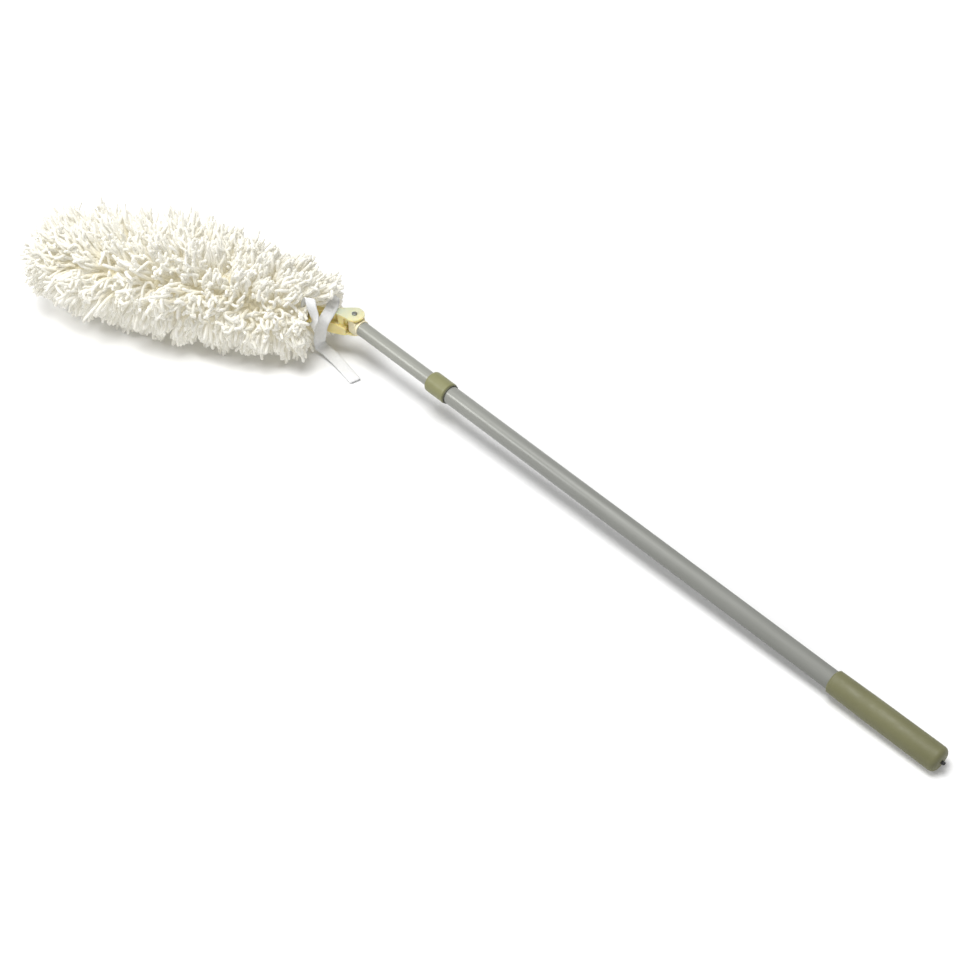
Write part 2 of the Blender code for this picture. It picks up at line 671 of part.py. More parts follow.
def make_head_frame(head):
    inside = FORK_HALF - CHEEK_THICKNESS / 2
    frame = box("head_frame", (WEB_START, -WEB_WIDTH / 2, -inside), (FORK_LENGTH, WEB_WIDTH / 2, inside), head)
    for piece in fork_pieces(head):
        combine(frame, piece, "UNION")
    combine(frame, plate("blade", blade_outline(), BLADE_THICKNESS, 0, head), "UNION")
    rib_low = (NECK_END - 2 * OVERRUN, -BLADE_RIB_THICKNESS / 2, -BLADE_RIB_HALF)
    rib_high = (YARN_END - BLADE_TIP_WIDTH, BLADE_RIB_THICKNESS / 2, BLADE_RIB_HALF)
    combine(frame, box("blade_rib", rib_low, rib_high, head), "UNION")
    reach = FORK_HALF + OVERRUN
    hole = [(0, -reach), (PIN_RADIUS + GAP, -reach), (PIN_RADIUS + GAP, reach), (0, reach)]
    combine(frame, turned_upright("fork_hole", hole, head), "DIFFERENCE")
    finish(smooth(frame), PALE_YELLOW, 0.42)


# Cover: pocket, hem and yarn

def make_pocket(head):
    """Flattened tube, open at the mouth and drawn in at its closed end."""
    profile = [(1, POCKET_START)]
    for i in range(POCKET_TIP_STEPS + 1):
        turn = math.pi / 2 * i / POCKET_TIP_STEPS
        profile.append((math.cos(turn), POCKET_END - POCKET_TIP_TAPER * (1 - math.sin(turn))))
    pocket = baked(turned("cover_sleeve", profile, head, sides=SMALL_SIDES))
    pocket.data.transform(Matrix.Diagonal((POCKET_HALF_HEIGHT, POCKET_HALF_WIDTH, 1, 1)))
    wall = pocket.modifiers.new("wall", "SOLIDIFY")
    wall.thickness = POCKET_WALL
    wall.offset = -1
    finish(smooth(pocket), CANVAS, 0.9)


def make_hem(head):
    inner = POCKET_HALF_HEIGHT + GAP, POCKET_HALF_WIDTH + GAP
    hem = baked(turned("cover_hem", [(1, HEM_START), (1, HEM_END)], head, sides=SMALL_SIDES))
    hem.data.transform(Matrix.Diagonal((*inner, 1, 1)))
    wall = hem.modifiers.new("wall", "SOLIDIFY")
    wall.thickness = HEM_THICKNESS
    wall.offset = 1
    finish(smooth(hem), CANVAS, 0.9)


def blend(low, high, share):
    return low + (high - low) * share


def yarn_radius(place):
    """Radius of the yarn's outline at a place along the head."""
    if place < BELLY_REACH:
        share = max(place - MOUTH_REACH, 0) / (BELLY_REACH - MOUTH_REACH)
        return blend(MOUTH_RADIUS, BELLY_RADIUS, math.sin(share * math.pi / 2))
    if place < SHOULDER_REACH:
        share = (place - BELLY_REACH) / (SHOULDER_REACH - BELLY_REACH)
        return blend(BELLY_RADIUS, SHOULDER_RADIUS, 1 - math.cos(share * math.pi / 2))
    share = min((place - SHOULDER_REACH) / (YARN_REACH - SHOULDER_REACH), 1)
    return SHOULDER_RADIUS * math.sqrt(1 - share * share)


def height_of(head_matrix, point):
    return (head_matrix @ point).z


def backing_point(place, angle, extra):
    half_width = BACKING_HALF_WIDTH + extra
    half_height = BACKING_HALF_HEIGHT + extra
    return Vector((place, half_width * math.sin(angle), half_height * math.cos(angle)))


def sagged(angle):
    """Angle to which a lock's weight turns it, and the share of its reach that is left."""
    turn = math.remainder(angle, math.tau)
    low_share = min(max((abs(turn) - SAG_START) / (SAG_END - SAG_START), 0), 1)
    turn += math.copysign(SAG_TURN * math.sin(turn) ** 2, turn)
    return turn, 1 - SAG_LOSS_SHARE * low_share


def lock_tip(base, angle, place, head_matrix, chance):
    """Where a lock of yarn ends: on the outline, or on the floor where that comes first."""
    angle, reach_share = sagged(angle)
    outward = Vector((0, math.sin(angle), math.cos(angle)))
    radius = yarn_radius(place) * reach_share
    radius *= 1 + chance.uniform(-LOCK_JITTER_SHARE, LOCK_JITTER_SHARE)
    centre = Vector((place, 0, 0))
    tip = centre + outward * radius
    height = height_of(head_matrix, tip)
    if height < FLOOR_CLEARANCE:
        level = 0 if height < 0 else FLOOR_CLEARANCE
        base_height = height_of(head_matrix, base)
        tip = base + (tip - base) * (base_height - level) / (base_height - height)
    return tip


def shape_ring(face, centre, direction, around, width_along, width_around):
    """Set the four corners of a lock's cross-section, in the order that its base has."""
    along = direction.cross(around).normalized()
    if along.x < 0:
        along = -along
    middle = face.calc_center_median()
    corners = [(vertex, vertex.co - middle) for vertex in face.verts]
    for vertex, offset in corners:
        side_along = 1 if offset.dot(along) > 0 else -1
        side_around = 1 if offset.dot(around) > 0 else -1
        vertex.co = centre + along * side_along * width_along / 2 + around * side_around * width_around / 2


def grow_lock(shape, face, base, waist, tip, around, head_matrix):
    """Draw one lock out of a face of the backing, through its waist to its tip."""
    face = bmesh.ops.extrude_discrete_faces(shape, faces=[face])["faces"][0]
    shape_ring(face, waist, waist - base, around, LOCK_WIDTH, LOCK_WIDTH)
    face = bmesh.ops.extrude_discrete_faces(shape, faces=[face])["faces"][0]
    direction = (tip - waist).normalized()
    shape_ring(face, tip, direction, around, LOCK_TIP_WIDTH, LOCK_TIP_WIDTH)
    fall = (head_matrix.to_3x3() @ direction).z
    on_floor = height_of(head_matrix, tip) < FLOOR_CLEARANCE / 2
    for vertex in face.verts:
        if on_floor:
            vertex.co -= direction * height_of(head_matrix, vertex.co) / fall


def arc_speed(angle):
    """How far the backing's edge runs for each radian."""
    return math.hypot(BACKING_HALF_WIDTH * math.cos(angle), BACKING_HALF_HEIGHT * math.sin(angle))


def make_yarn_strip(name, number, head, head_matrix, chance):
    """A strip of backing along the pocket, with rows of yarn locks drawn out of it."""
    sector = COLUMN_ANGLE * STRIP_COLUMNS
    start = (number - 0.5) * sector
    end = start + sector
    start += GAP / arc_speed(start)
    end -= GAP / arc_speed(end)
    shape = bmesh.new()
    bmesh.ops.create_grid(shape, x_segments=YARN_ROWS, y_segments=STRIP_COLUMNS, size=0.5)
    faces = list(shape.faces)
    shares = [face.calc_center_median() + Vector((0.5, 0.5, 0)) for face in faces]
    bmesh.ops.solidify(shape, geom=faces, thickness=1)
    for vertex in shape.verts:
        place = blend(YARN_START, YARN_END, vertex.co.x + 0.5)
        angle = blend(start, end, vertex.co.y + 0.5)
        vertex.co = backing_point(place, angle, vertex.co.z * STRIP_BACKING)
    for face, share in zip(faces, shares):
        place = blend(YARN_START, YARN_END, share.x)
        angle = blend(start, end, share.y)
        mouth = MOUTH_LEAN + MOUTH_LEAN_SPREAD * math.cos(angle - MOUTH_LEAN_ANGLE)
        side = 1 if int(share.x * YARN_ROWS) % 2 else -1
        base = face.calc_center_median()
        tip_place = place + blend(-mouth, TIP_LEAN, share.x)
        tip = lock_tip(base, angle + side * COLUMN_ANGLE * STAGGER_SHARE, tip_place, head_matrix, chance)
        outward = Vector((0, math.sin(angle), math.cos(angle)))
        waist = base + (outward + (tip - base).normalized()) / 2 * (tip - base).length * LOCK_WAIST_SHARE
        around = Vector((0, math.cos(angle), -math.sin(angle)))
        grow_lock(shape, face, base, waist, tip, around, head_matrix)
    add_yarn(name, shape, head)


def add_yarn(name, shape, head):
    mesh = bpy.data.meshes.new(name)
    shape.to_mesh(mesh)
    shape.free()
    finish(add_object(name, mesh, head), YARN_WHITE, 0.95)


def make_yarn_tip(head, head_matrix, chance):
    """Tuft of locks on the pocket's closed end, fanned out about the head's axis."""
    shape = bmesh.new()
    bmesh.ops.create_grid(shape, x_segments=TUFT_ROWS, y_segments=TUFT_COLUMNS, size=0.5)
    half_width, half_height = POCKET_HALF_WIDTH / 2, POCKET_HALF_HEIGHT / 2
    faces = list(shape.faces)
    bmesh.ops.solidify(shape, geom=faces, thickness=1)
    for vertex in shape.verts:
        x = TUFT_START + TUFT_BACKING * (1 + vertex.co.z)
        vertex.co = Vector((x, vertex.co.x * 2 * half_width, vertex.co.y * 2 * half_height))
    for face in faces:
        base = face.calc_center_median()
        turn = base.y / half_width * TUFT_SPREAD
        rise = base.z / half_height * TUFT_SPREAD
        direction = Vector((1, math.tan(turn), math.tan(rise))).normalized()
        edge_share = (abs(base.y) / half_width + abs(base.z) / half_height) / 2
        reach = (YARN_REACH - base.x - TUFT_EDGE_DROP * edge_share) / direction.x
        reach *= 1 + chance.uniform(-LOCK_JITTER_SHARE, 0)
        tip = base + direction * reach
        waist = base + direction * reach * LOCK_WAIST_SHARE
        grow_tuft_lock(shape, face, waist, tip, direction)
    add_yarn("yarn_tip", shape, head)


def grow_tuft_lock(shape, face, waist, tip, direction):
    width = POCKET_HALF_WIDTH / TUFT_ROWS
    height = POCKET_HALF_HEIGHT / TUFT_COLUMNS
    sideways = Vector((0, 1, 0))
    for centre in (waist, tip):
        face = bmesh.ops.extrude_discrete_faces(shape, faces=[face])["faces"][0]
        middle = face.calc_center_median()
        upward = direction.cross(sideways).normalized()
        level = upward.cross(direction).normalized()
        for vertex in face.verts:
            offset = vertex.co - middle
            side = 1 if offset.dot(level) > 0 else -1
            rise = 1 if offset.dot(upward) > 0 else -1
            vertex.co = centre + level * side * width / 2 + upward * rise * height / 2


# Tie tapes

def spline_point(points, position):
    """Catmull-Rom curve through the points, position running from 0 to the last index."""
    i = min(int(position), len(points) - 2)
    t = position - i
    p1, p2 = points[i], points[i + 1]
    p0 = points[i - 1] if i > 0 else p1 + (p1 - p2)
    p3 = points[i + 2] if i + 2 < len(points) else p2 + (p2 - p1)
    return (2 * p1 + (p2 - p0) * t + (2 * p0 - 5 * p1 + 4 * p2 - p3) * t * t
            + (3 * p1 - 3 * p2 + p3 - p0) * t * t * t) / 2


def ribbon(name, route, across, width, head):
    """A flat tape along a route, with the direction of its width given at each point."""
    shape = bmesh.new()
    last = len(route) - 1
    step = last / TAPE_STEPS
    previous = None
    for i in range(TAPE_STEPS + 1):
        centre = spline_point(route, i * step)
        side = spline_point(across, i * step) * width / 2
        edge = [shape.verts.new(centre - side), shape.verts.new(centre + side)]
        if previous:
            shape.faces.new((previous[0], previous[1], edge[1], edge[0]))
        previous = edge
    mesh = bpy.data.meshes.new(name)
    shape.to_mesh(mesh)
    shape.free()
    tape = add_object(name, mesh, head)
    wall = tape.modifiers.new("thickness", "SOLIDIFY")
    wall.thickness = TAPE_THICKNESS
    wall.offset = 0
    finish(smooth(tape), TAPE_WHITE, 0.85)


def seam_on_hem(out):
    """Where a tape is sewn down on the hem, and the slope of the hem there."""
    half_width = POCKET_HALF_WIDTH + GAP + HEM_THICKNESS
    half_height = POCKET_HALF_HEIGHT + GAP + HEM_THICKNESS
    share = math.sqrt(1 - (out / half_width) ** 2)
    level = half_height * share + 2 * GAP + TAPE_THICKNESS
    slope = -half_height * out / (half_width * half_width * share)
    return Vector((HEM_START + TAPE_SEWN, out, level)), Vector((0, 1, slope)).normalized()


def make_tapes(head):
    crest = FORK_HALF + TAPE_CREST
    tail = TAPE_TAIL_HEIGHT - JOINT_HEIGHT
    seam, slope = seam_on_hem(-TAPE_ROOT_OUT)
    route, across = [seam], [slope]
    for (along, out, up), side in zip(TAPE_ROUTE_SHARES, TAPE_ACROSS_SHARES):
        route.append(Vector((blend(-TAPE_TAIL_BACK, HEM_START, along),
                             blend(-TAPE_FAR_REACH, TAPE_TAIL_OUT, out),
                             blend(tail, crest, up))))
        across.append(Vector(side))
    ribbon("tie_tape_long", route, across, TAPE_WIDTH, head)

    seam, slope = seam_on_hem(TAPE_ROOT_OUT)
    route, across = [seam], [slope]
    for (along, out, up), side in zip(LOOP_ROUTE_SHARES, LOOP_ACROSS_SHARES):
        route.append(Vector((blend(LOOP_REACH, HEM_START, along), LOOP_OUT * out, LOOP_RISE * up)))
        across.append(Vector(side))
    ribbon("tie_tape_short", route, across, LOOP_TAPE_WIDTH, head)


# The whole duster

def pole_pitch():
    """Slope that puts the grip's end on the floor with the joint at its height."""
    reach, radius = GRIP_END - GRIP_EDGE, GRIP_END_DIAMETER / 2
    return math.asin(JOINT_HEIGHT / math.hypot(reach, radius)) - math.atan(radius / reach)


def centre_on_floor(root):
    """Move the origin to the middle of the duster's footprint."""
    bpy.context.view_layer.update()
    graph = bpy.context.evaluated_depsgraph_get()
    corners = []
    for obj in PARTS.objects:
        if obj.type != "MESH":
            continue
        mesh = obj.evaluated_get(graph).to_mesh()
        corners += [obj.matrix_world @ vertex.co for vertex in mesh.vertices]
    low = [min(corner[i] for corner in corners) for i in range(3)]
    high = [max(corner[i] for corner in corners) for i in range(3)]
    root.location = (-(low[0] + high[0]) / 2, -(low[1] + high[1]) / 2, -low[2])
    bpy.context.view_layer.update()


def main():
    clear_scene()
    global PARTS, TOOLS
    PARTS = collection_named("high_duster")
    TOOLS = collection_named("cutters")

    root = empty("duster", None, Matrix())
    at_joint = Matrix.Translation((0, 0, JOINT_HEIGHT)) @ Matrix.Rotation(pole_pitch(), 4, "Y")
    pole = empty("pole_axis", root, at_joint)
    turn = Matrix.Rotation(math.pi + HEAD_BEND, 4, "Z")
    head = empty("head_axis", pole, turn)
    head_matrix = at_joint @ turn

    make_outer_tube(pole)
    make_grip(pole)
    make_end_plug(pole)
    make_collar(pole)
    make_guide_bush(pole)
    make_inner_tube(pole)
    make_twist_lock(pole)
    make_cam_ring(pole)
    make_pivot_socket(pole)
    make_friction_washers(pole)
    make_pivot_pin(head)
    make_head_frame(head)
    make_pocket(head)
    make_hem(head)
    chance = random.Random(YARN_SEED)
    for number, name in enumerate(STRIPS):
        make_yarn_strip(name, number, head, head_matrix, chance)
    make_yarn_tip(head, head_matrix, chance)
    make_tapes(head)
    centre_on_floor(root)


main()
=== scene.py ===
"""Looks of the high duster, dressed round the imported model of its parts."""

import json
import math

import bmesh
import bpy
import numpy as np
from mathutils import Matrix, Vector


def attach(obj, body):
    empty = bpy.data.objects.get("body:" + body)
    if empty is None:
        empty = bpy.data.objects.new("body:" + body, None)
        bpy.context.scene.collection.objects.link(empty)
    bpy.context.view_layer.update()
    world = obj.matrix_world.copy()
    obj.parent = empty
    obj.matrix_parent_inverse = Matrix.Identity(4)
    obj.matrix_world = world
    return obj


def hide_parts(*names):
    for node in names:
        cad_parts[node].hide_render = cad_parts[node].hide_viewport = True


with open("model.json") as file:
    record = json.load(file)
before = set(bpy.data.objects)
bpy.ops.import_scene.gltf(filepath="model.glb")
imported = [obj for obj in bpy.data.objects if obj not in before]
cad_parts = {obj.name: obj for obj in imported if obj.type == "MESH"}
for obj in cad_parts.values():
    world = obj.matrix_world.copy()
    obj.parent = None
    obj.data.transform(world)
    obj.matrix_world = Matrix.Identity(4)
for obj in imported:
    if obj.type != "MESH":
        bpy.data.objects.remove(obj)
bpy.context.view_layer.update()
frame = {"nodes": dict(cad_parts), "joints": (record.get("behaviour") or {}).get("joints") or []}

MM = 0.001
SEED = 20
rng = np.random.default_rng(SEED)

JOINTS = {joint["name"]: joint for joint in frame["joints"]}
PIVOT = Vector(JOINTS["head_pivot"]["pos_m"])
HEAD_UP = Vector(JOINTS["head_pivot"]["axis"]).normalized()
HEAD_ALONG = Vector(JOINTS["cover_pull_off"]["axis"]).normalized()
HEAD_NEAR = HEAD_UP.cross(HEAD_ALONG)
HEAD = Matrix.Translation(PIVOT) @ Matrix((HEAD_ALONG, HEAD_NEAR, HEAD_UP)).transposed().to_4x4()


def place_object(name, data):
    obj = bpy.data.objects.new(name, data)
    bpy.context.scene.collection.objects.link(obj)
    return obj


# Camera, fitted to the photograph

CAMERA_FOOT = Vector((PIVOT.x + 12 * MM, PIVOT.y, 0))
CAMERA_OFFSET = Vector((1.2987, -1.0460, 1.4395))
CAMERA_TURN = math.radians(45.96)
CAMERA_TILT = math.radians(45.0)
FOCAL_PIXELS = 1767.5
FRAME_PIXELS = 970
SENSOR = 36.0
CLIP_END = 50


def make_camera():
    camera = bpy.data.cameras.new("camera")
    camera.sensor_width = SENSOR
    camera.lens = FOCAL_PIXELS / FRAME_PIXELS * SENSOR
    camera.clip_end = CLIP_END
    obj = place_object("camera", camera)
    forward = Vector((-math.sin(CAMERA_TURN) * math.cos(CAMERA_TILT),
                      math.cos(CAMERA_TURN) * math.cos(CAMERA_TILT), -math.sin(CAMERA_TILT)))
    right = Vector((math.cos(CAMERA_TURN), math.sin(CAMERA_TURN), 0))
    upward = right.cross(forward)
    turn = Matrix((right, upward, -forward)).transposed().to_4x4()
    obj.matrix_world = Matrix.Translation(CAMERA_FOOT + CAMERA_OFFSET) @ turn
    bpy.context.scene.camera = obj


# Node helpers for the materials

class Shader:
    """A node material with a Principled shader, and short ways to add nodes to it."""

    def __init__(self, name, colour, roughness, metallic=0.0, **sockets):
        self.material = bpy.data.materials.new(name)
        self.material.use_nodes = True
        self.tree = self.material.node_tree
        self.principled = self.tree.nodes["Principled BSDF"]
        self.principled.inputs["Base Color"].default_value = (*colour, 1)
        self.principled.inputs["Roughness"].default_value = roughness
        self.principled.inputs["Metallic"].default_value = metallic
        for socket, value in sockets.items():
            self.principled.inputs[socket.replace("_", " ")].default_value = value

    def node(self, kind, **settings):
        node = self.tree.nodes.new(kind)
        for key, value in settings.items():
            setattr(node, key, value)
        return node

    def link(self, source, target):
        self.tree.links.new(source, target)

    def value(self, node, socket, source):
        """Link a socket, or set it where the source is a plain value."""
        target = node.inputs[socket]
        if hasattr(source, "is_linked"):
            self.link(source, target)
        else:
            target.default_value = source

    def scaled(self, source, scale):
        mapping = self.node("ShaderNodeMapping")
        mapping.inputs["Scale"].default_value = scale
        self.link(source, mapping.inputs["Vector"])
        return mapping.outputs["Vector"]

    def position(self, scale=(1, 1, 1)):
        """Place on the object at rest, stretched by a scale along each axis."""
        return self.scaled(self.node("ShaderNodeTexCoord").outputs["Object"], scale)

    def cloth_place(self, across=1, along=1):
        """Place on a cloth or yarn from its UV map, stretched across and along."""
        return self.scaled(self.node("ShaderNodeUVMap", uv_map="cloth").outputs["UV"], (across, along, 1))

    def parts(self, source):
        """X, Y and Z of a vector."""
        node = self.node("ShaderNodeSeparateXYZ")
        self.link(source, node.inputs["Vector"])
        return node.outputs

    def noise(self, scale, detail=3, roughness=0.55, vector=None):
        node = self.node("ShaderNodeTexNoise")
        node.inputs["Scale"].default_value = scale
        node.inputs["Detail"].default_value = detail
        node.inputs["Roughness"].default_value = roughness
        self.link(vector or self.position(), node.inputs["Vector"])
        return node.outputs["Fac"]

    def spread(self, source, low, high, to_low=0.0, to_high=1.0, curve="SMOOTHSTEP"):
        node = self.node("ShaderNodeMapRange", interpolation_type=curve)
        for socket, value in (("From Min", low), ("From Max", high), ("To Min", to_low), ("To Max", to_high)):
            node.inputs[socket].default_value = value
        self.link(source, node.inputs["Value"])
        return node.outputs["Result"]

    def math(self, operation, first, second=0.0):
        node = self.node("ShaderNodeMath", operation=operation)
        self.value(node, 0, first)
        self.value(node, 1, second)
        return node.outputs["Value"]

    def mix(self, share, first, second, blend="MIX"):
        node = self.node("ShaderNodeMix", data_type="RGBA", blend_type=blend)
        self.value(node, "Factor", share)
        for socket, source in ((6, first), (7, second)):
            self.value(node, socket, (*source, 1) if isinstance(source, tuple) else source)
        return node.outputs[2]

    def wave(self, turns):
        return self.math("SINE", self.math("MULTIPLY", turns, math.tau))

    def bump(self, height, distance, strength=1.0):
        node = self.node("ShaderNodeBump")
        node.inputs["Strength"].default_value = strength
        node.inputs["Distance"].default_value = distance
        self.link(height, node.inputs["Height"])
        self.link(node.outputs["Normal"], self.principled.inputs["Normal"])

    def colour(self, source):
        self.link(source, self.principled.inputs["Base Color"])

    def roughness(self, source):
        self.link(source, self.principled.inputs["Roughness"])


def varied_plastic(name, colour, light, roughness, grain=900, grain_height=0.03 * MM, light_ramp=None, **sockets):
    """Moulded plastic: slow changes of tone, a fine grain, a little dulling, and a painted highlight that turns the
    colour paler from one height to another, for the glare off the top.
    """
    shader = Shader(name, colour, roughness, **sockets)
    tone = shader.spread(shader.noise(35, 4), 0.3, 0.7)
    moulded = shader.mix(tone, colour, light)
    # Painted highlight: a paler colour from one height upwards, for the glare off the top.
    if light_ramp:
        glare_colour, low, high = light_ramp
        height = shader.parts(shader.position())["Z"]
        moulded = shader.mix(shader.spread(height, low, high, curve="LINEAR"), moulded, glare_colour)
    shader.colour(moulded)
    dull = shader.noise(120, 5, 0.65)
    shader.roughness(shader.spread(dull, 0.25, 0.75, roughness - 0.07, roughness + 0.09))
    shader.bump(shader.noise(grain, 2), grain_height)
    return shader.material


def tube_paint(name, colour, light, worn):
    """Satin paint on a drawn tube: long faint streaks, scuffs, a duller end towards the grip, and painted shade that
    darkens the tube towards the grip, for the light falling off along the pole.
    """
    shader = Shader(name, colour, 0.36, 0.15, Specular_IOR_Level=0.45)
    streaks = shader.noise(60, 4, 0.6, shader.position((0.06, 1, 1)))
    clouds = shader.noise(9, 3)
    tone = shader.math("ADD", shader.math("MULTIPLY", streaks, 0.6), shader.math("MULTIPLY", clouds, 0.4))
    base = shader.mix(shader.spread(tone, 0.35, 0.65), colour, light)
    along = shader.parts(shader.position())["X"]
    # Painted shade: the tube turns darker towards the grip, for the light falling off along it.
    painted_falloff = shader.mix(1.0, base, (0.78, 0.785, 0.795), "MULTIPLY")
    shader.colour(shader.mix(shader.spread(along, -0.2, 0.12), base, painted_falloff))
    scuffs = shader.noise(260, 4, 0.7, shader.position((0.03, 1, 1)))
    dull = shader.math("MULTIPLY", shader.spread(along, 0.05, 0.38), 0.3)
    shader.roughness(shader.math("ADD", shader.spread(scuffs, 0.35, 0.8, 0.33, 0.33 + worn), dull))
    shader.bump(shader.noise(700, 2, 0.5), 0.015 * MM)
    return shader.material


def bright_metal(name, colour, roughness):
    shader = Shader(name, colour, roughness, 1.0)
    brushed = shader.noise(420, 3, 0.6)
    shader.roughness(shader.spread(brushed, 0.3, 0.7, roughness - 0.06, roughness + 0.1))
    shader.bump(brushed, 0.01 * MM)
    return shader.material


# Painted light: the yarn glows in its own colour by this strength, though it is no lamp.
YARN_PAINTED_GLOW = 0.23


def yarn_material():
    """Cotton yarn: twisted plies, painted shade that turns it darker and yellower towards the roots, and a painted
    glow for the light that soaks through cotton and bounces among the strands.
    """
    tip, painted_root_shade = (0.745, 0.73, 0.672), (0.70, 0.65, 0.495)
    shader = Shader("cotton_yarn", tip, 0.95, Sheen_Weight=0.3, Sheen_Roughness=0.6, Specular_IOR_Level=0.2,
                    Emission_Strength=YARN_PAINTED_GLOW)
    share = shader.node("ShaderNodeAttribute", attribute_name="yarn_share").outputs["Fac"]
    tone = shader.node("ShaderNodeAttribute", attribute_name="yarn_tone").outputs["Fac"]
    # Painted shade: the colour darkens and yellows from the tips towards the roots, by each point's share along its
    # strand.
    colour = shader.mix(shader.spread(share, 0.3, 0.95), painted_root_shade, tip)
    shade = shader.mix(tone, (0.95, 0.945, 0.915), (1.0, 1.0, 1.0))
    yarn = shader.mix(1.0, colour, shade, "MULTIPLY")
    shader.colour(yarn)
    shader.link(yarn, shader.principled.inputs["Emission Color"])
    place = shader.parts(shader.cloth_place())
    plies = shader.wave(shader.math("ADD", shader.math("MULTIPLY", place["X"], 2.0), place["Y"]))
    fibres = shader.noise(2600, 2, 0.6)
    height = shader.math("ADD", plies, shader.math("MULTIPLY", fibres, 1.2))
    shader.bump(height, 0.22 * MM, 0.45)
    return shader.material


def woven_material(name, colour, light, threads_across, threads_along, height):
    """Plain weave drawn from the cloth's own UV map."""
    shader = Shader(name, colour, 0.9, Sheen_Weight=0.3, Sheen_Roughness=0.5, Specular_IOR_Level=0.25)
    place = shader.parts(shader.cloth_place(threads_across, threads_along))
    weave = shader.math("MULTIPLY", shader.wave(place["X"]), shader.wave(place["Y"]))
    slubs = shader.noise(300, 4, 0.6)
    tone = shader.math("ADD", shader.math("MULTIPLY", weave, 0.25), slubs)
    shader.colour(shader.mix(shader.spread(tone, 0.25, 0.8), colour, light))
    shader.bump(shader.math("ADD", weave, slubs), height)
    return shader.material


# Carried-over parts: welded and shaded, with soft moulded edges, and their materials

WELD_DISTANCE = 0.02 * MM
CREASE = math.radians(35)
SOCKET_EDGE = 0.4 * MM
# Heights over the pivot between which the head frame's top turns paler: a painted highlight for the glare off its
# top.
TOP_GLARE_LOW, TOP_GLARE_HIGH = 13.5 * MM, 15.5 * MM


def dress(name, material, edge=0.0):
    obj = frame["nodes"][name]
    mesh = obj.data
    if "custom_normal" in mesh.attributes:
        mesh.attributes.remove(mesh.attributes["custom_normal"])
    mesh.polygons.foreach_set("use_smooth", [True] * len(mesh.polygons))
    weld = obj.modifiers.new("weld", "WELD")
    weld.merge_threshold = WELD_DISTANCE
    if edge:
        bevel = obj.modifiers.new("edge", "BEVEL")
        bevel.width = edge
        bevel.segments = 2
        bevel.limit_method = "ANGLE"
        bevel.angle_limit = CREASE
    split = obj.modifiers.new("crease", "EDGE_SPLIT")
    split.split_angle = CREASE
    mesh.materials.clear()
    mesh.materials.append(material)


def dress_parts():
    paint = tube_paint("tube_paint", (0.262, 0.265, 0.238), (0.29, 0.293, 0.266), 0.08)
    slid = tube_paint("tube_paint_rubbed", (0.27, 0.273, 0.243), (0.305, 0.308, 0.275), 0.12)
    olive = varied_plastic("olive_plastic", (0.186, 0.185, 0.08), (0.208, 0.206, 0.093), 0.45)
    vinyl = varied_plastic("grip_vinyl", (0.135, 0.133, 0.06), (0.153, 0.151, 0.07), 0.55, 500, 0.05 * MM)
    black = varied_plastic("black_rubber", (0.014, 0.014, 0.015), (0.024, 0.024, 0.024), 0.6)
    nylon = varied_plastic("nylon", (0.68, 0.68, 0.62), (0.75, 0.75, 0.69), 0.42)
    # The head frame gets a painted highlight: paler above a height over the pivot.
    yellow = varied_plastic("pale_yellow_plastic", (0.77, 0.64, 0.25), (0.82, 0.72, 0.34), 0.36,
                            light_ramp=((0.60, 0.635, 0.48), PIVOT.z + TOP_GLARE_LOW, PIVOT.z + TOP_GLARE_HIGH),
                            Subsurface_Weight=0.6, Subsurface_Radius=(1.0, 0.8, 0.35), Subsurface_Scale=5 * MM)
    cream = varied_plastic("cream_plastic", (0.88, 0.80, 0.55), (0.90, 0.84, 0.62), 0.34)
    ring = varied_plastic("seal_rubber", (0.05, 0.05, 0.024), (0.07, 0.07, 0.035), 0.55)
    steel = bright_metal("steel", (0.46, 0.46, 0.45), 0.3)
    dark = bright_metal("dark_steel", (0.17, 0.175, 0.16), 0.45)
    dress("outer_tube", paint)
    dress("inner_tube", slid)
    dress("lock_collar", olive)
    dress("grip_sleeve", vinyl)
    dress("end_plug", black)
    dress("collar_seal", ring)
    dress("pivot_socket", cream, SOCKET_EDGE)
    dress("head_frame", yellow)
    for name in ("guide_bush", "lock_plug", "cam_ring", "friction_washer_upper", "friction_washer_lower"):
        dress(name, nylon)
    for name in ("cam_washer", "cam_screw", "pin_retainer"):
        dress(name, steel)
    dress("pivot_pin", dark)


# Meshes

def vectors(along, near, up):
    """Vectors from their three parts: arrays of one shape, of which some may be plain numbers."""
    return np.stack(np.broadcast_arrays(along, near, up), axis=-1)


def to_scene_frame(points):
    """Head-frame points, an array of any shape ending in 3, in the scene's frame."""
    matrix = np.array(HEAD)
    return points @ matrix[:3, :3].T + matrix[:3, 3]


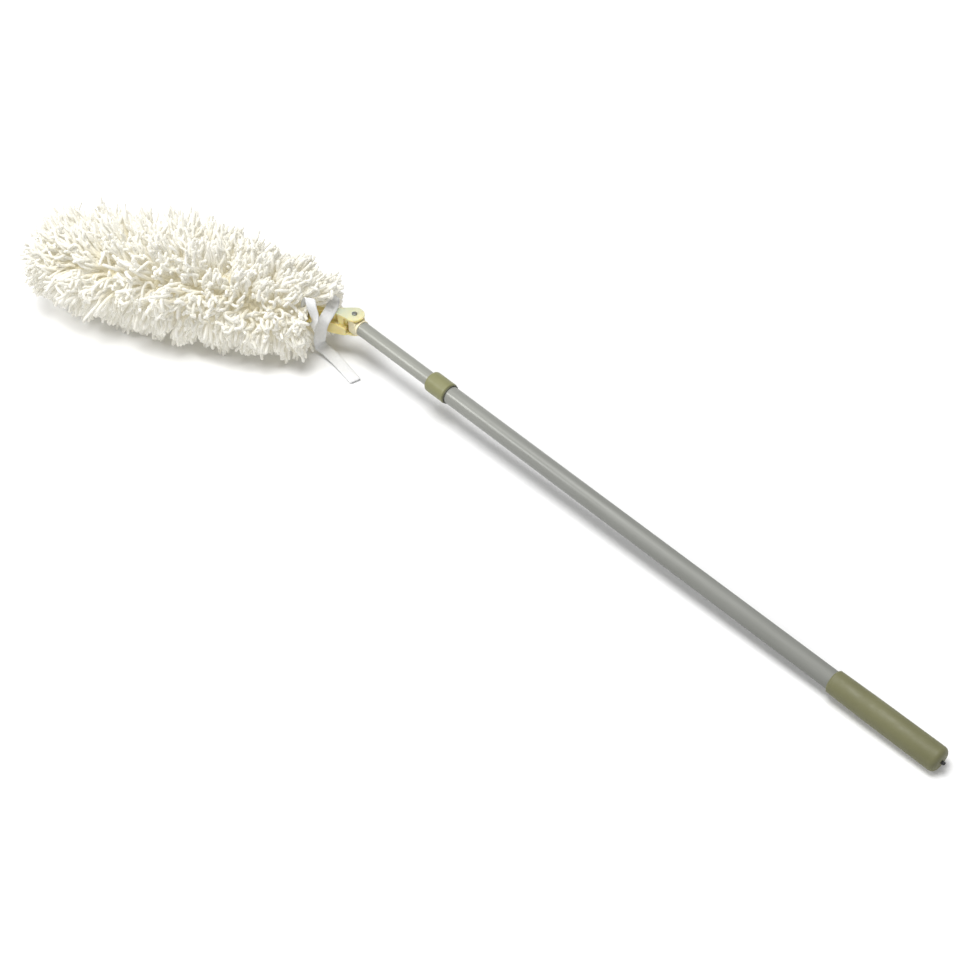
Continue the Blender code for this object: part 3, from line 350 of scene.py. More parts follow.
def mesh_object(name, points, faces, material, uvs, attributes=None):
    """A mesh from arrays: faces in groups of one size each, UVs per corner and values per point."""
    mesh = bpy.data.meshes.new(name)
    mesh.vertices.add(len(points))
    mesh.vertices.foreach_set("co", np.ascontiguousarray(points, dtype=np.float32).ravel())
    corners = np.concatenate([group.ravel() for group in faces])
    sizes = np.concatenate([np.full(len(group), group.shape[1]) for group in faces])
    mesh.loops.add(len(corners))
    mesh.loops.foreach_set("vertex_index", corners.astype(np.int32))
    mesh.polygons.add(len(sizes))
    mesh.polygons.foreach_set("loop_start", (np.cumsum(sizes) - sizes).astype(np.int32))
    mesh.polygons.foreach_set("use_smooth", np.ones(len(sizes), dtype=bool))
    mesh.update(calc_edges=True)
    layer = mesh.uv_layers.new(name="cloth")
    layer.data.foreach_set("uv", np.ascontiguousarray(uvs, dtype=np.float32).ravel())
    for key, values in (attributes or {}).items():
        attribute = mesh.attributes.new(key, "FLOAT", "POINT")
        attribute.data.foreach_set("value", np.ascontiguousarray(values, dtype=np.float32).ravel())
    mesh.validate()
    mesh.materials.append(material)
    return place_object(name, mesh)


def grid_quads(rows, columns):
    """Quads between rows of points, each of one point more than its columns."""
    i = np.arange(rows)[:, None] * (columns + 1)
    j = np.arange(columns)[None]
    return np.stack([i + j, i + j + 1, i + columns + 2 + j, i + columns + 1 + j], axis=-1).reshape(-1, 4)


def corner_uvs(*corners):
    """UVs of quads, from the two coordinates of each of their corners in turn."""
    return np.stack([np.stack(corner, axis=-1) for corner in corners], axis=-2).reshape(-1, 2)


def unit(rows):
    return rows / np.maximum(np.linalg.norm(rows, axis=-1, keepdims=True), 1e-9)


def smooth_step(value, low, high):
    share = np.clip((value - low) / (high - low), 0, 1)
    return share * share * (3 - 2 * share)


# Yarn: its outline, as the parts have it

STRIPS = ("yarn_top", "yarn_near_upper", "yarn_near_lower", "yarn_bottom", "yarn_far_lower", "yarn_far_upper")
SECTOR = math.radians(60)

YARN_START = 66 * MM
YARN_END = 362 * MM
YARN_LENGTH = YARN_END - YARN_START
POCKET_END = 369 * MM
POCKET_HALF_WIDTH = 18.2 * MM
POCKET_HALF_HEIGHT = 8.8 * MM
MOUTH_REACH, MOUTH_RADIUS = 30 * MM, 57 * MM
BELLY_REACH, BELLY_RADIUS = 232 * MM, 88 * MM
SHOULDER_REACH, SHOULDER_RADIUS = 375 * MM, 71 * MM
YARN_REACH = 437 * MM

# Where the outline is uneven: places and spreads along the head, and shares of the radius

TUFT_PLACE, TUFT_SPREAD, TUFT_RISE = 225 * MM, 32 * MM, 0.1
DIP_PLACE, DIP_SPREAD, DIP_DEPTH = 157 * MM, 18 * MM, 0.09
DRAWN_PLACE, DRAWN_SPREAD, DRAWN_DEPTH = 270 * MM, 55 * MM, 0.11

# How the strands lean along the head, part along the side that faces the camera, and sag

LEAN_AT_MOUTH = 26 * MM
LEAN_SWING = 14 * MM
LEAN_SWING_ANGLE = math.radians(-50)
LEAN_AT_END = 46 * MM
FIRST_ROWS, FIRST_ROWS_SPREAD = 0.02, 0.08
FIRST_ROWS_LEAN = 10 * MM

PARTING_ANGLE = math.radians(52)
PARTING_SPREAD = math.radians(48)
PARTING_PUSH = math.radians(23)
PARTING_EDGE = math.radians(9)

SAG_ANGLES = math.radians(60), math.radians(95)
SAG_TURN = math.radians(22)
SAG_TURN_ADDED = math.radians(15)
SAG_TURN_PLACES = 230 * MM, 390 * MM
SAG_LOSS = 0.14
SAG_LOSS_PLACES = 40 * MM, 120 * MM
HANG_ANGLES = math.radians(72), math.radians(102)

# Nearest places to the knuckle that a tip may reach, and the room left free round the tapes

NEAREST_TO_POLE = 20 * MM
NEAREST_BEHIND = 31 * MM
NEAREST_TO_TAPE = 50 * MM
NEAREST_SCATTER = 6 * MM
TAPE_ROOM = 3.6 * MM
TAPE_BATCHES = 12
LONG_TAPE_CREST = 4
TAPE_CLEARING = np.array([-1.2, 2.9, 2.7]) * MM
CLEARING_STEPS = 4

# Clumps, to which neighbouring tips draw together

CLUMP_STEP_ALONG = 22 * MM
CLUMP_STEP_ROUND = math.radians(18)
CLUMP_RADIUS = 62 * MM
CLUMP_PULL = 0.5, 0.86
CLUMP_REACH = -0.10, 0.07
CLUMP_BEND = 0.3
CLUMP_EDGE_LOSS = 0.16

# Strands: their number, scatter and shape, and those that stay out of the clumps

STRANDS_PER_STRIP = 1100
SEAMS_PER_STRIP = 4
STRAND_RADIUS = 2.15 * MM
STRAND_SIDES = 6
STRAND_STEPS = 13
PLY_TURN = 7 * MM
STRAND_REACH = 1.03
ROOT_SCATTER_ALONG, ROOT_SCATTER_ROUND = 0.006, 0.045
TIP_SCATTER_ALONG, TIP_SCATTER_ROUND = 4 * MM, 0.07
REACH_SCATTER = 0.05
MOUTH_ROWS = 0.09
MOUTH_ROWS_REACH = 0.62, 1.04
LEAN_RUN = 60 * MM
TIP_DROP = 0.15
ROOT_HANDLE, TIP_HANDLE = 0.38, 0.36
WAVES = 2
WAVE_COUNT = 0.9, 2.6
THICKNESS_SCATTER = 0.86, 1.12
CAP_LENGTH, CAP_RADIUS = 0.7, 0.55
CAP_RUN = 1 * MM
FLOOR_LEVEL = STRAND_RADIUS * 1.2
FLOOR_SPREAD = 7 * MM

FACING_ANGLE = math.radians(62)
FACING_SPREAD = math.radians(24)
LOOSE_SHARE, LOOSE_SHARE_FACING = 0.3, 0.35
LOOSE_COMBING = 0.3
LOOSE_PULL = 0.35
LOOSE_SHORTER = 0.16
FACING_PULL_LOSS = 0.55

# Amounts for a strand: any, added on the side that faces the camera, and added where it is loose

BEND_AMOUNTS = 0.16, 0.5, 0.22
CURL_AMOUNTS = 1.8, 1.6, 0.8

# Tuft at the closed end

TUFT_STRANDS = 480
TUFT_FAN = math.radians(47)
TUFT_ROOTS = 0.85
TUFT_LENGTHS = np.linspace(20 * MM, 90 * MM, 71)
TUFT_SCATTER = 3 * MM
TUFT_REACH_SCATTER = 0.09
TUFT_CURL = 1.5

# Dense inner part of the yarn, between the strands' roots and tips

PILE_START = NEAREST_TO_TAPE + 4 * MM
PILE_DEPTH = 0.52
PILE_ROWS = 130
PILE_COLUMNS = 40
PILE_TUFT = 4.5 * MM
PILE_ENDS = 0.07
PILE_CLEARANCE = 3 * MM
# Share along a strand whose colour the pile takes: near the roots' painted shade, darker and yellower than the tips.
PILE_SHADE_SHARE = 0.4


def hump(value, middle, spread):
    """A smooth rise to 1 in the middle."""
    return np.exp(-((value - middle) / spread) ** 2)


def wrapped(angle):
    """An angle brought within half a turn of zero."""
    return (angle + math.pi) % math.tau - math.pi


def yarn_radius(place):
    rising = MOUTH_RADIUS + (BELLY_RADIUS - MOUTH_RADIUS) * np.sin(
        np.clip((place - MOUTH_REACH) / (BELLY_REACH - MOUTH_REACH), 0, 1) * math.pi / 2)
    falling = BELLY_RADIUS + (SHOULDER_RADIUS - BELLY_RADIUS) * (1 - np.cos(
        np.clip((place - BELLY_REACH) / (SHOULDER_REACH - BELLY_REACH), 0, 1) * math.pi / 2))
    end = np.clip((place - SHOULDER_REACH) / (YARN_REACH - SHOULDER_REACH), 0, 1)
    body = np.where(place < BELLY_REACH, rising, falling)
    return np.where(place < SHOULDER_REACH, body, SHOULDER_RADIUS * np.sqrt(1 - end * end))


def unevenness(place, angle):
    """A high tuft and a dip along the top, and a lower edge drawn in on the near side."""
    top = smooth_step(np.cos(angle), 0.2, 0.7)
    edge = smooth_step(np.sin(angle), 0.3, 0.8) * smooth_step(-np.cos(angle), -0.2, 0.2)
    tuft = hump(place, TUFT_PLACE, TUFT_SPREAD)
    dip = hump(place, DIP_PLACE, DIP_SPREAD)
    drawn = hump(place, DRAWN_PLACE, DRAWN_SPREAD)
    return top * (TUFT_RISE * tuft - DIP_DEPTH * dip) - edge * DRAWN_DEPTH * drawn


def lean_of(share, angle):
    """How far along the head a strand's tip lies from its root."""
    mouth = LEAN_AT_MOUTH + LEAN_SWING * np.cos(angle - LEAN_SWING_ANGLE)
    lean = -mouth + (mouth + LEAN_AT_END) * share
    return lean - FIRST_ROWS_LEAN * hump(share, FIRST_ROWS, FIRST_ROWS_SPREAD) * (np.cos(angle) > -0.3)


def comb(angle, share):
    """Tip's angle for a root's angle: strands part along the side that faces the camera."""
    offset = wrapped(angle - PARTING_ANGLE)
    strength = 0.7 + 0.3 * smooth_step(share, 0.5, 0.78)
    return angle + np.tanh(offset / PARTING_EDGE) * hump(offset, 0, PARTING_SPREAD) * PARTING_PUSH * strength


def sagged(angle, place):
    """Angle to which its weight turns a strand's tip, and the share of its reach that is left."""
    turn = wrapped(angle)
    weight = SAG_TURN + SAG_TURN_ADDED * smooth_step(place, *SAG_TURN_PLACES)
    left = 1 - SAG_LOSS * smooth_step(np.abs(turn), *SAG_ANGLES) * smooth_step(place, *SAG_LOSS_PLACES)
    return turn + np.sign(turn) * weight * np.sin(turn) ** 2, left


def nearest_place(angle):
    """Nearest place to the knuckle for a tip: further off beside the tapes and on the far side."""
    beside_tapes = (np.sin(angle) > 0.45) & (np.cos(angle) < 0.85)
    behind = np.sin(angle) < -0.3
    return np.where(beside_tapes, NEAREST_TO_TAPE, np.where(behind, NEAREST_BEHIND, NEAREST_TO_POLE))


def make_clumps():
    along = np.arange(0, 1.0001, CLUMP_STEP_ALONG / YARN_LENGTH)
    round_steps = int(round(math.tau / CLUMP_STEP_ROUND))
    shares, angles = np.meshgrid(along, np.arange(round_steps) * math.tau / round_steps, indexing="ij")
    count = shares.size
    shares = shares.ravel() + rng.uniform(-0.45, 0.45, count) * along[1]
    angles = angles.ravel() + rng.uniform(-0.5, 0.5, count) * CLUMP_STEP_ROUND
    return {
        "share": shares, "angle": angles,
        "pull": rng.uniform(*CLUMP_PULL, count),
        "reach": rng.uniform(*CLUMP_REACH, count),
        "bend": rng.normal(0, 1, (count, 3)) * CLUMP_BEND,
    }


def nearest_clump(clumps, share, angle):
    along = (share[:, None] - clumps["share"][None]) * YARN_LENGTH
    turn = wrapped(angle[:, None] - clumps["angle"][None])
    return np.argmin(along ** 2 + (turn * CLUMP_RADIUS) ** 2, axis=1)


def amount(amounts, facing, loose_strand):
    every, where_facing, where_loose = amounts
    return every + where_facing * facing + where_loose * loose_strand


def strip_strands(number, clumps):
    """Roots and tips of one strip's strands, their directions at both, and their curl, in the head frame."""
    count = STRANDS_PER_STRIP
    seam = np.arange(count) % SEAMS_PER_STRIP
    share = (np.arange(count) + 0.5) / count
    share = np.clip(share + rng.normal(0, ROOT_SCATTER_ALONG, count), 0.0, 1.0)
    angle = (number - 0.5) * SECTOR + (seam + 0.5) / SEAMS_PER_STRIP * SECTOR
    angle = angle + rng.normal(0, ROOT_SCATTER_ROUND, count)
    place = YARN_START + YARN_LENGTH * share
    root = vectors(place, POCKET_HALF_WIDTH * np.sin(angle), POCKET_HALF_HEIGHT * np.cos(angle))
    facing = hump(wrapped(angle - FACING_ANGLE), 0, FACING_SPREAD)
    loose_strand = rng.uniform(0, 1, count) < LOOSE_SHARE + LOOSE_SHARE_FACING * facing

    combed = comb(angle, share) - angle
    own_angle = angle + combed * np.where(loose_strand, LOOSE_COMBING, 1.0)
    own_angle = own_angle + rng.normal(0, TIP_SCATTER_ROUND, count)
    own_place = place + lean_of(share, angle) + rng.normal(0, TIP_SCATTER_ALONG, count)
    which = nearest_clump(clumps, share, angle)
    clump_share, clump_angle = clumps["share"][which], clumps["angle"][which]
    clump_place = YARN_START + YARN_LENGTH * clump_share + lean_of(clump_share, clump_angle)
    turn = wrapped(comb(clump_angle, clump_share) - own_angle)
    pull = clumps["pull"][which] * (1 - FACING_PULL_LOSS * facing) * np.where(loose_strand, LOOSE_PULL, 1.0)
    off_centre = np.hypot((clump_place - own_place) / CLUMP_STEP_ALONG, turn / CLUMP_STEP_ROUND)
    tip_place = own_place + (clump_place - own_place) * pull
    tip_angle, left = sagged(own_angle + turn * pull, tip_place)
    tip_place = np.maximum(tip_place, nearest_place(tip_angle) + rng.uniform(0, NEAREST_SCATTER, count))

    edge_loss = np.minimum(off_centre, 1.2) ** 1.5 * CLUMP_EDGE_LOSS * (1 - 0.6 * facing)
    reach = STRAND_REACH + clumps["reach"][which] - edge_loss
    reach -= (np.abs(rng.normal(0, REACH_SCATTER, count))
              + np.where(loose_strand, rng.uniform(0, LOOSE_SHORTER, count), 0))
    reach *= np.where(share < MOUTH_ROWS, rng.uniform(*MOUTH_ROWS_REACH, count), 1)
    radius = yarn_radius(tip_place) * (reach + unevenness(tip_place, tip_angle)) * left
    tip = vectors(tip_place, np.sin(tip_angle) * radius, np.cos(tip_angle) * radius)

    lean = (tip_place - place) / LEAN_RUN
    hang = smooth_step(np.abs(tip_angle), *HANG_ANGLES)
    start = vectors(lean * 0.5, np.sin(angle), np.cos(angle) * 1.3)
    aslant = np.where(loose_strand, 0, combed)
    loose = amount(BEND_AMOUNTS, facing, loose_strand)
    end = tip_directions(tip_angle, lean, hang, aslant, clumps["bend"][which], loose)
    curl = amount(CURL_AMOUNTS, facing, loose_strand) * (1 - 0.6 * hang)
    return root, unit(start), tip, unit(end), curl


def tip_directions(angle, lean, hang, aslant, bend, loose):
    """Directions at the tips: outward above and down where they hang, bent with their clump and at random."""
    hang = hang[:, None]
    outward = vectors(0.0, np.sin(angle), np.cos(angle))
    down = vectors(lean * 0.7, 0.25 * np.sin(angle), -1.0)
    end = (outward + vectors(lean * 0.9, 0.0, 0.0)) * (1 - hang) + down * hang
    end += vectors(0.0, np.cos(angle), -np.sin(angle)) * aslant[:, None] * 2.2 * (1 - hang)
    end += (bend * 1.2 + rng.normal(0, 1, bend.shape)) * (loose[:, None] * (1 - 0.8 * hang))
    end[:, 2] -= TIP_DROP
    return end


def tuft_strands(clumps):
    """Strands of the closed end, fanned out about the head's axis, as strip_strands gives them."""
    count = TUFT_STRANDS
    spot = rng.uniform(0, 1, (count, 2))
    radius, turn = np.sqrt(spot[:, 0]), spot[:, 1] * math.tau
    root = vectors(POCKET_END, radius * np.cos(turn) * POCKET_HALF_WIDTH * TUFT_ROOTS,
                   radius * np.sin(turn) * POCKET_HALF_HEIGHT * TUFT_ROOTS)
    fan = radius * TUFT_FAN
    direction = unit(vectors(np.cos(fan), np.sin(fan) * np.cos(turn), np.sin(fan) * np.sin(turn)))
    which = nearest_clump(clumps, np.full(count, 1.0), math.pi / 2 - turn)
    reach = 1 + clumps["reach"][which] - np.abs(rng.normal(0, TUFT_REACH_SCATTER, count))
    points = root[:, None] + direction[:, None] * TUFT_LENGTHS[None, :, None]
    inside = np.hypot(points[..., 1], points[..., 2]) < yarn_radius(points[..., 0])
    length = TUFT_LENGTHS[np.maximum(inside.sum(axis=1) - 1, 0)] * reach
    tip = root + direction * length[:, None] + rng.normal(0, TUFT_SCATTER, (count, 3))
    start = unit(direction + np.array([0.6, 0, 0]))
    bent = direction + clumps["bend"][which] * 0.6 + rng.normal(0, 0.15, (count, 3))
    end = unit(bent - np.array([0, 0, TIP_DROP]))
    return root, start, tip, end, np.full(count, TUFT_CURL)


def above_floor(points, clearance):
    """Head-frame points in the scene's frame, those too low lifted to a clearance over the floor."""
    scene_points = to_scene_frame(points)
    scene_points[..., 2] += np.maximum(clearance - scene_points[..., 2], 0)
    return scene_points


def shorten_to_floor(root, tip):
    """Bring a tip that would be under the floor up its own line to it, and a little sideways."""
    root_height = to_scene_frame(root)[:, 2]
    tip_height = to_scene_frame(tip)[:, 2]
    drop = np.maximum(root_height - tip_height, 1e-6)
    share = np.where(tip_height < FLOOR_LEVEL, (root_height - FLOOR_LEVEL) / drop, 1)
    spread = rng.uniform(-FLOOR_SPREAD, FLOOR_SPREAD, (len(tip), 2)) * (share < 1)[:, None]
    tip = root + (tip - root) * share[:, None]
    tip[:, :2] += spread
    return tip


def strand_lines(root, start, tip, end, curl, tapes):
    """Wavy curves from roots to tips in the scene's frame, without those that come too near a tape."""
    count = len(root)
    tip = shorten_to_floor(root, tip)
    length = np.linalg.norm(tip - root, axis=1)
    t = np.linspace(0, 1, STRAND_STEPS + 1)[None, :, None]
    first = root + start * (length * ROOT_HANDLE)[:, None]
    second = tip - end * (length * TIP_HANDLE)[:, None]
    line = ((1 - t) ** 3 * root[:, None] + 3 * (1 - t) ** 2 * t * first[:, None]
            + 3 * (1 - t) * t ** 2 * second[:, None] + t ** 3 * tip[:, None])
    waves = rng.normal(0, 1, (WAVES, count, 3))
    phases = rng.uniform(0, math.tau, (WAVES, count, 1))
    speeds = rng.uniform(*WAVE_COUNT, (WAVES, count, 1))
    for wave, phase, speed in zip(waves, phases, speeds):
        swing = np.sin(phase + speed * math.tau * t[..., 0]) - np.sin(phase)
        line += wave[:, None] * (swing * t[..., 0])[..., None] * curl[:, None, None] * MM
    gaps = np.min([np.linalg.norm(line[:, :, None] - part[None, None], axis=3).min(axis=(1, 2))
                   for part in np.array_split(tapes, TAPE_BATCHES)], axis=0)
    line = above_floor(line, STRAND_RADIUS + rng.uniform(0.1, 2.0, (count, 1)) * MM)
    return line[gaps > TAPE_ROOM]


def strand_sides(tangent):
    """Two directions across each line, which follow its bends without winding round it."""
    side = np.cross(tangent[:, 0], rng.normal(0, 1, (len(tangent), 3)))
    sides = []
    for k in range(tangent.shape[1]):
        side = unit(side - tangent[:, k] * np.sum(side * tangent[:, k], axis=1, keepdims=True))
        sides.append(side)
    side = np.stack(sides, axis=1)
    return side, np.cross(tangent, side)


def with_last(rows, last):
    return np.concatenate([rows, last], axis=1)


def make_strands(name, strands, tapes, material):
    """Tubes along curved strands, as one mesh, with their plies' turns in the UV map."""
    line = strand_lines(*strands, tapes)
    count = len(line)
    step = np.linalg.norm(np.diff(line, axis=1), axis=2)
    run = np.concatenate([np.zeros((count, 1)), np.cumsum(step, axis=1)], axis=1)
    tangent = unit(np.gradient(line, axis=1))
    side, other = strand_sides(tangent)

    share = np.linspace(0, 1, STRAND_STEPS + 1)
    thick = 0.7 + 0.3 * smooth_step(share, 0, 0.3) - 0.14 * smooth_step(share, 0.8, 1)
    radius = STRAND_RADIUS * rng.uniform(*THICKNESS_SCATTER, (count, 1)) * thick[None]
    line = with_last(line, line[:, -1:] + tangent[:, -1:] * radius[:, -1:, None] * CAP_LENGTH)
    side, other = with_last(side, side[:, -1:]), with_last(other, other[:, -1:])
    radius = with_last(radius, radius[:, -1:] * CAP_RADIUS)
    run = with_last(run, run[:, -1:] + CAP_RUN)
    rings = STRAND_STEPS + 2

    turn = np.arange(STRAND_SIDES) / STRAND_SIDES * math.tau
    ring = (side[:, :, None] * np.cos(turn)[None, None, :, None]
            + other[:, :, None] * np.sin(turn)[None, None, :, None])
    points = line[:, :, None] + ring * radius[:, :, None, None]
    first = np.arange(count)[:, None, None] * rings * STRAND_SIDES
    lower = first + np.arange(rings - 1)[None, :, None] * STRAND_SIDES
    upper = lower + STRAND_SIDES
    around = np.arange(STRAND_SIDES)[None, None]
    after = (around + 1) % STRAND_SIDES
    quads = np.stack([lower + around, lower + after, upper + after, upper + around], axis=-1).reshape(-1, 4)
    bottom = first[:, 0] + np.arange(STRAND_SIDES)[::-1][None]
    top = upper[:, -1] + np.arange(STRAND_SIDES)[None]

    left = np.broadcast_to(around / STRAND_SIDES, (count, rings - 1, STRAND_SIDES))
    right = left + 1 / STRAND_SIDES
    low = np.broadcast_to((run[:, :-1] / PLY_TURN)[:, :, None], left.shape)
    high = np.broadcast_to((run[:, 1:] / PLY_TURN)[:, :, None], left.shape)
    uvs = np.concatenate([corner_uvs((left, low), (right, low), (right, high), (left, high)),
                          np.zeros((2 * count * STRAND_SIDES, 2))])
    values = {"yarn_share": np.broadcast_to(np.append(share, 1.0)[None, :, None], points.shape[:3]),
              "yarn_tone": np.broadcast_to(rng.uniform(0, 1, (count, 1, 1)), points.shape[:3])}
    return mesh_object(name, points.reshape(-1, 3), [quads, bottom, top], material, uvs, values)


def pile_rows(angles, shares):
    """Points of the pile for strip angles and shares of the head's length."""
    angle, share = np.meshgrid(angles, shares)
    place = YARN_START + YARN_LENGTH * share
    tip_place = place + lean_of(share, angle) * PILE_DEPTH
    tip_place = np.maximum(tip_place, PILE_START)
    tip_angle, left = sagged(angle, tip_place)
    bumps = (np.sin(tip_place * 610 + 3 * np.sin(angle * 7)) * np.sin(angle * 19 + 2 * np.sin(tip_place * 90))
             + 0.6 * np.sin(tip_place * 1170 + angle * 11) * np.sin(angle * 31 + tip_place * 260))
    radius = yarn_radius(tip_place) * PILE_DEPTH * left + PILE_TUFT * bumps
    ends = np.sin(np.clip(np.minimum(share, 1 - share) / PILE_ENDS, 0, 1) * math.pi / 2)
    radius *= 0.35 + 0.65 * ends
    return vectors(tip_place, radius * np.sin(tip_angle), radius * np.cos(tip_angle))


def make_pile(number, material):
    angles = (number - 0.5 + np.linspace(0, 1, PILE_COLUMNS + 1)) * SECTOR
    points = above_floor(pile_rows(angles, np.linspace(0.02, 0.98, PILE_ROWS + 1)), PILE_CLEARANCE)
    quads = grid_quads(PILE_ROWS, PILE_COLUMNS)
    points = points.reshape(-1, 3)
    count = len(points)
    values = {"yarn_share": np.full(count, PILE_SHADE_SHARE), "yarn_tone": rng.uniform(0, 1, count)}
    return mesh_object(STRIPS[number] + "_pile", points, [quads], material, np.zeros((quads.size, 2)), values)


def finish_piece(obj, body, slot, *nodes):
    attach(obj, body)
    if nodes:
        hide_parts(*nodes)


def tape_surroundings():
    """Points of both tapes, and of the space over the long one past its crest, that the yarn keeps clear of."""
    both = [tape_points(LONG_TAPE_ROUTE, LONG_TAPE_ACROSS, LONG_TAPE_WIDTH),
            tape_points(SHORT_TAPE_ROUTE, SHORT_TAPE_ACROSS, SHORT_TAPE_WIDTH)]
    past_crest = tape_points(LONG_TAPE_ROUTE[LONG_TAPE_CREST:], LONG_TAPE_ACROSS[LONG_TAPE_CREST:],
                             LONG_TAPE_WIDTH)
    return np.concatenate(both + [past_crest + TAPE_CLEARING * i for i in range(1, CLEARING_STEPS)])


def make_yarn():
    material = yarn_material()
    clumps = make_clumps()
    tapes = tape_surroundings()
    for number, node in enumerate(STRIPS):
        strands = make_strands(node + "_strands", strip_strands(number, clumps), tapes, material)
        finish_piece(strands, "duster_cover", "cotton_yarn", node)
        finish_piece(make_pile(number, material), "duster_cover", "cotton_yarn")
    tuft = make_strands("yarn_tip_strands", tuft_strands(clumps), tapes, material)
    finish_piece(tuft, "duster_cover", "cotton_yarn", "yarn_tip")


# Pocket, hem and stitches

POCKET_START = 58 * MM
POCKET_WALL = 1.1 * MM
HEM_START = 56.5 * MM
HEM_LENGTH = 8 * MM
HEM_HALF_WIDTH = 18.5 * MM
HEM_HALF_HEIGHT = 9.1 * MM
HEM_THICKNESS = 1.4 * MM
POCKET_ROUNDING = 12 * MM
POCKET_SIDES = 48
HEM_SIDES = 56
HEM_STEPS = 16
STITCH_INSETS = 2.2 * MM, 6.0 * MM
STITCH_RADIUS = 0.32 * MM
STITCH_PLACES = 80


def loft(name, rows, material, closed_end, uv_scale):
    """A skin over rings of points, each row an array of the same number of points round it."""
    rows = np.stack(rows)
    count, around = rows.shape[0], rows.shape[1]
    points = to_scene_frame(rows).reshape(-1, 3)
    i = np.arange(count - 1)[:, None] * around
    j = np.arange(around)[None]
    after = (j + 1) % around
    quads = np.stack([i + j, i + around + j, i + around + after, i + after], axis=-1).reshape(-1, 4)
    left = np.broadcast_to(j / around, (count - 1, around))
    low = np.broadcast_to(np.arange(count - 1)[:, None] / (count - 1), left.shape)
    right, high = left + 1 / around, low + 1 / (count - 1)
    uvs = corner_uvs((left, low), (left, high), (right, high), (right, low)) * np.array(uv_scale)
    faces = [quads]
    if closed_end:
        i = (count - 1) * around
        faces.append((i + np.arange(around))[None, ::-1])
        uvs = np.concatenate([uvs, np.zeros((around, 2))])
    return mesh_object(name, points, faces, material, uvs)


def oval(place, half_width, half_height, count, power=2.2):
    """A ring round the head's axis, slightly squarer than an ellipse."""
    turn = np.arange(count) / count * math.tau
    sine, cosine = np.sin(turn), np.cos(turn)
    wide = np.sign(sine) * np.abs(sine) ** (2 / power) * half_width
    tall = np.sign(cosine) * np.abs(cosine) ** (2 / power) * half_height
    return vectors(place, wide, tall)


def make_pocket(material):
    rows = []
    rounded = POCKET_ROUNDING * np.sin(np.linspace(0.3, math.pi / 2, 6))
    places = np.concatenate([np.linspace(POCKET_START, POCKET_END - POCKET_ROUNDING, 60),
                             POCKET_END - POCKET_ROUNDING + rounded])
    for place in places:
        into_end = max(0, (place - POCKET_END + POCKET_ROUNDING) / POCKET_ROUNDING)
        drawn = max(math.sqrt(max(0, 1 - into_end ** 2)), 0.06)
        ripple = 0.35 * MM * math.sin(place * 190) + 0.25 * MM * math.sin(place * 410 + 1)
        rows.append(oval(place, (POCKET_HALF_WIDTH + ripple) * drawn, (POCKET_HALF_HEIGHT - ripple) * drawn,
                         POCKET_SIDES))
    pocket = loft("cover_pocket", rows, material, True, (1, 1))
    wall = pocket.modifiers.new("wall", "SOLIDIFY")
    wall.thickness = POCKET_WALL
    wall.offset = -1
    finish_piece(pocket, "duster_cover", "canvas", "cover_sleeve")


def make_hem(material):
    """Binding folded over the pocket's mouth."""
    fold = HEM_THICKNESS / 2
    section = []
    for k in range(HEM_STEPS + 1):
        turn = math.pi * (k / HEM_STEPS)
        section.append((HEM_START + fold - fold * math.sin(turn), fold - fold * math.cos(turn)))
    section.append((HEM_START + HEM_LENGTH, HEM_THICKNESS))
    section.append((HEM_START + HEM_LENGTH, 0))
    section.append((HEM_START + fold, 0))
    rows = [oval(place, HEM_HALF_WIDTH + out, HEM_HALF_HEIGHT + out, HEM_SIDES) for place, out in section]
    hem = loft("cover_hem_binding", rows, material, False, (1, 0.1))
    finish_piece(hem, "duster_cover", "canvas", "cover_hem")


def capsule_run(name, segments, radius, material):
    """Short rounded stitches, each from one point to another, as one mesh."""
    shape = bmesh.new()
    for start, end in segments:
        start, end = HEAD @ Vector(start), HEAD @ Vector(end)
        axis = end - start
        turn = Vector((0, 0, 1)).rotation_difference(axis).to_matrix().to_4x4()
        place = Matrix.Translation((start + end) / 2) @ turn @ Matrix.Diagonal((1, 1, axis.length / (2 * radius), 1))
        bmesh.ops.create_uvsphere(shape, u_segments=8, v_segments=6, radius=radius, matrix=place)
    for face in shape.faces:
        face.smooth = True
    mesh = bpy.data.meshes.new(name)
    shape.to_mesh(mesh)
    shape.free()
    mesh.materials.append(material)
    return place_object(name, mesh)


def make_stitches(material):
    segments = []
    for inset in STITCH_INSETS:
        ring = oval(HEM_START + inset, HEM_HALF_WIDTH + HEM_THICKNESS, HEM_HALF_HEIGHT + HEM_THICKNESS,
                    STITCH_PLACES)
        segments += [(ring[k], ring[k + 1]) for k in range(0, STITCH_PLACES, 2)]
    stitches = capsule_run("hem_stitches", segments, STITCH_RADIUS, material)
    finish_piece(stitches, "duster_cover", "canvas")


# Tie tapes: routes in the head frame, in mm, and directions across the tape

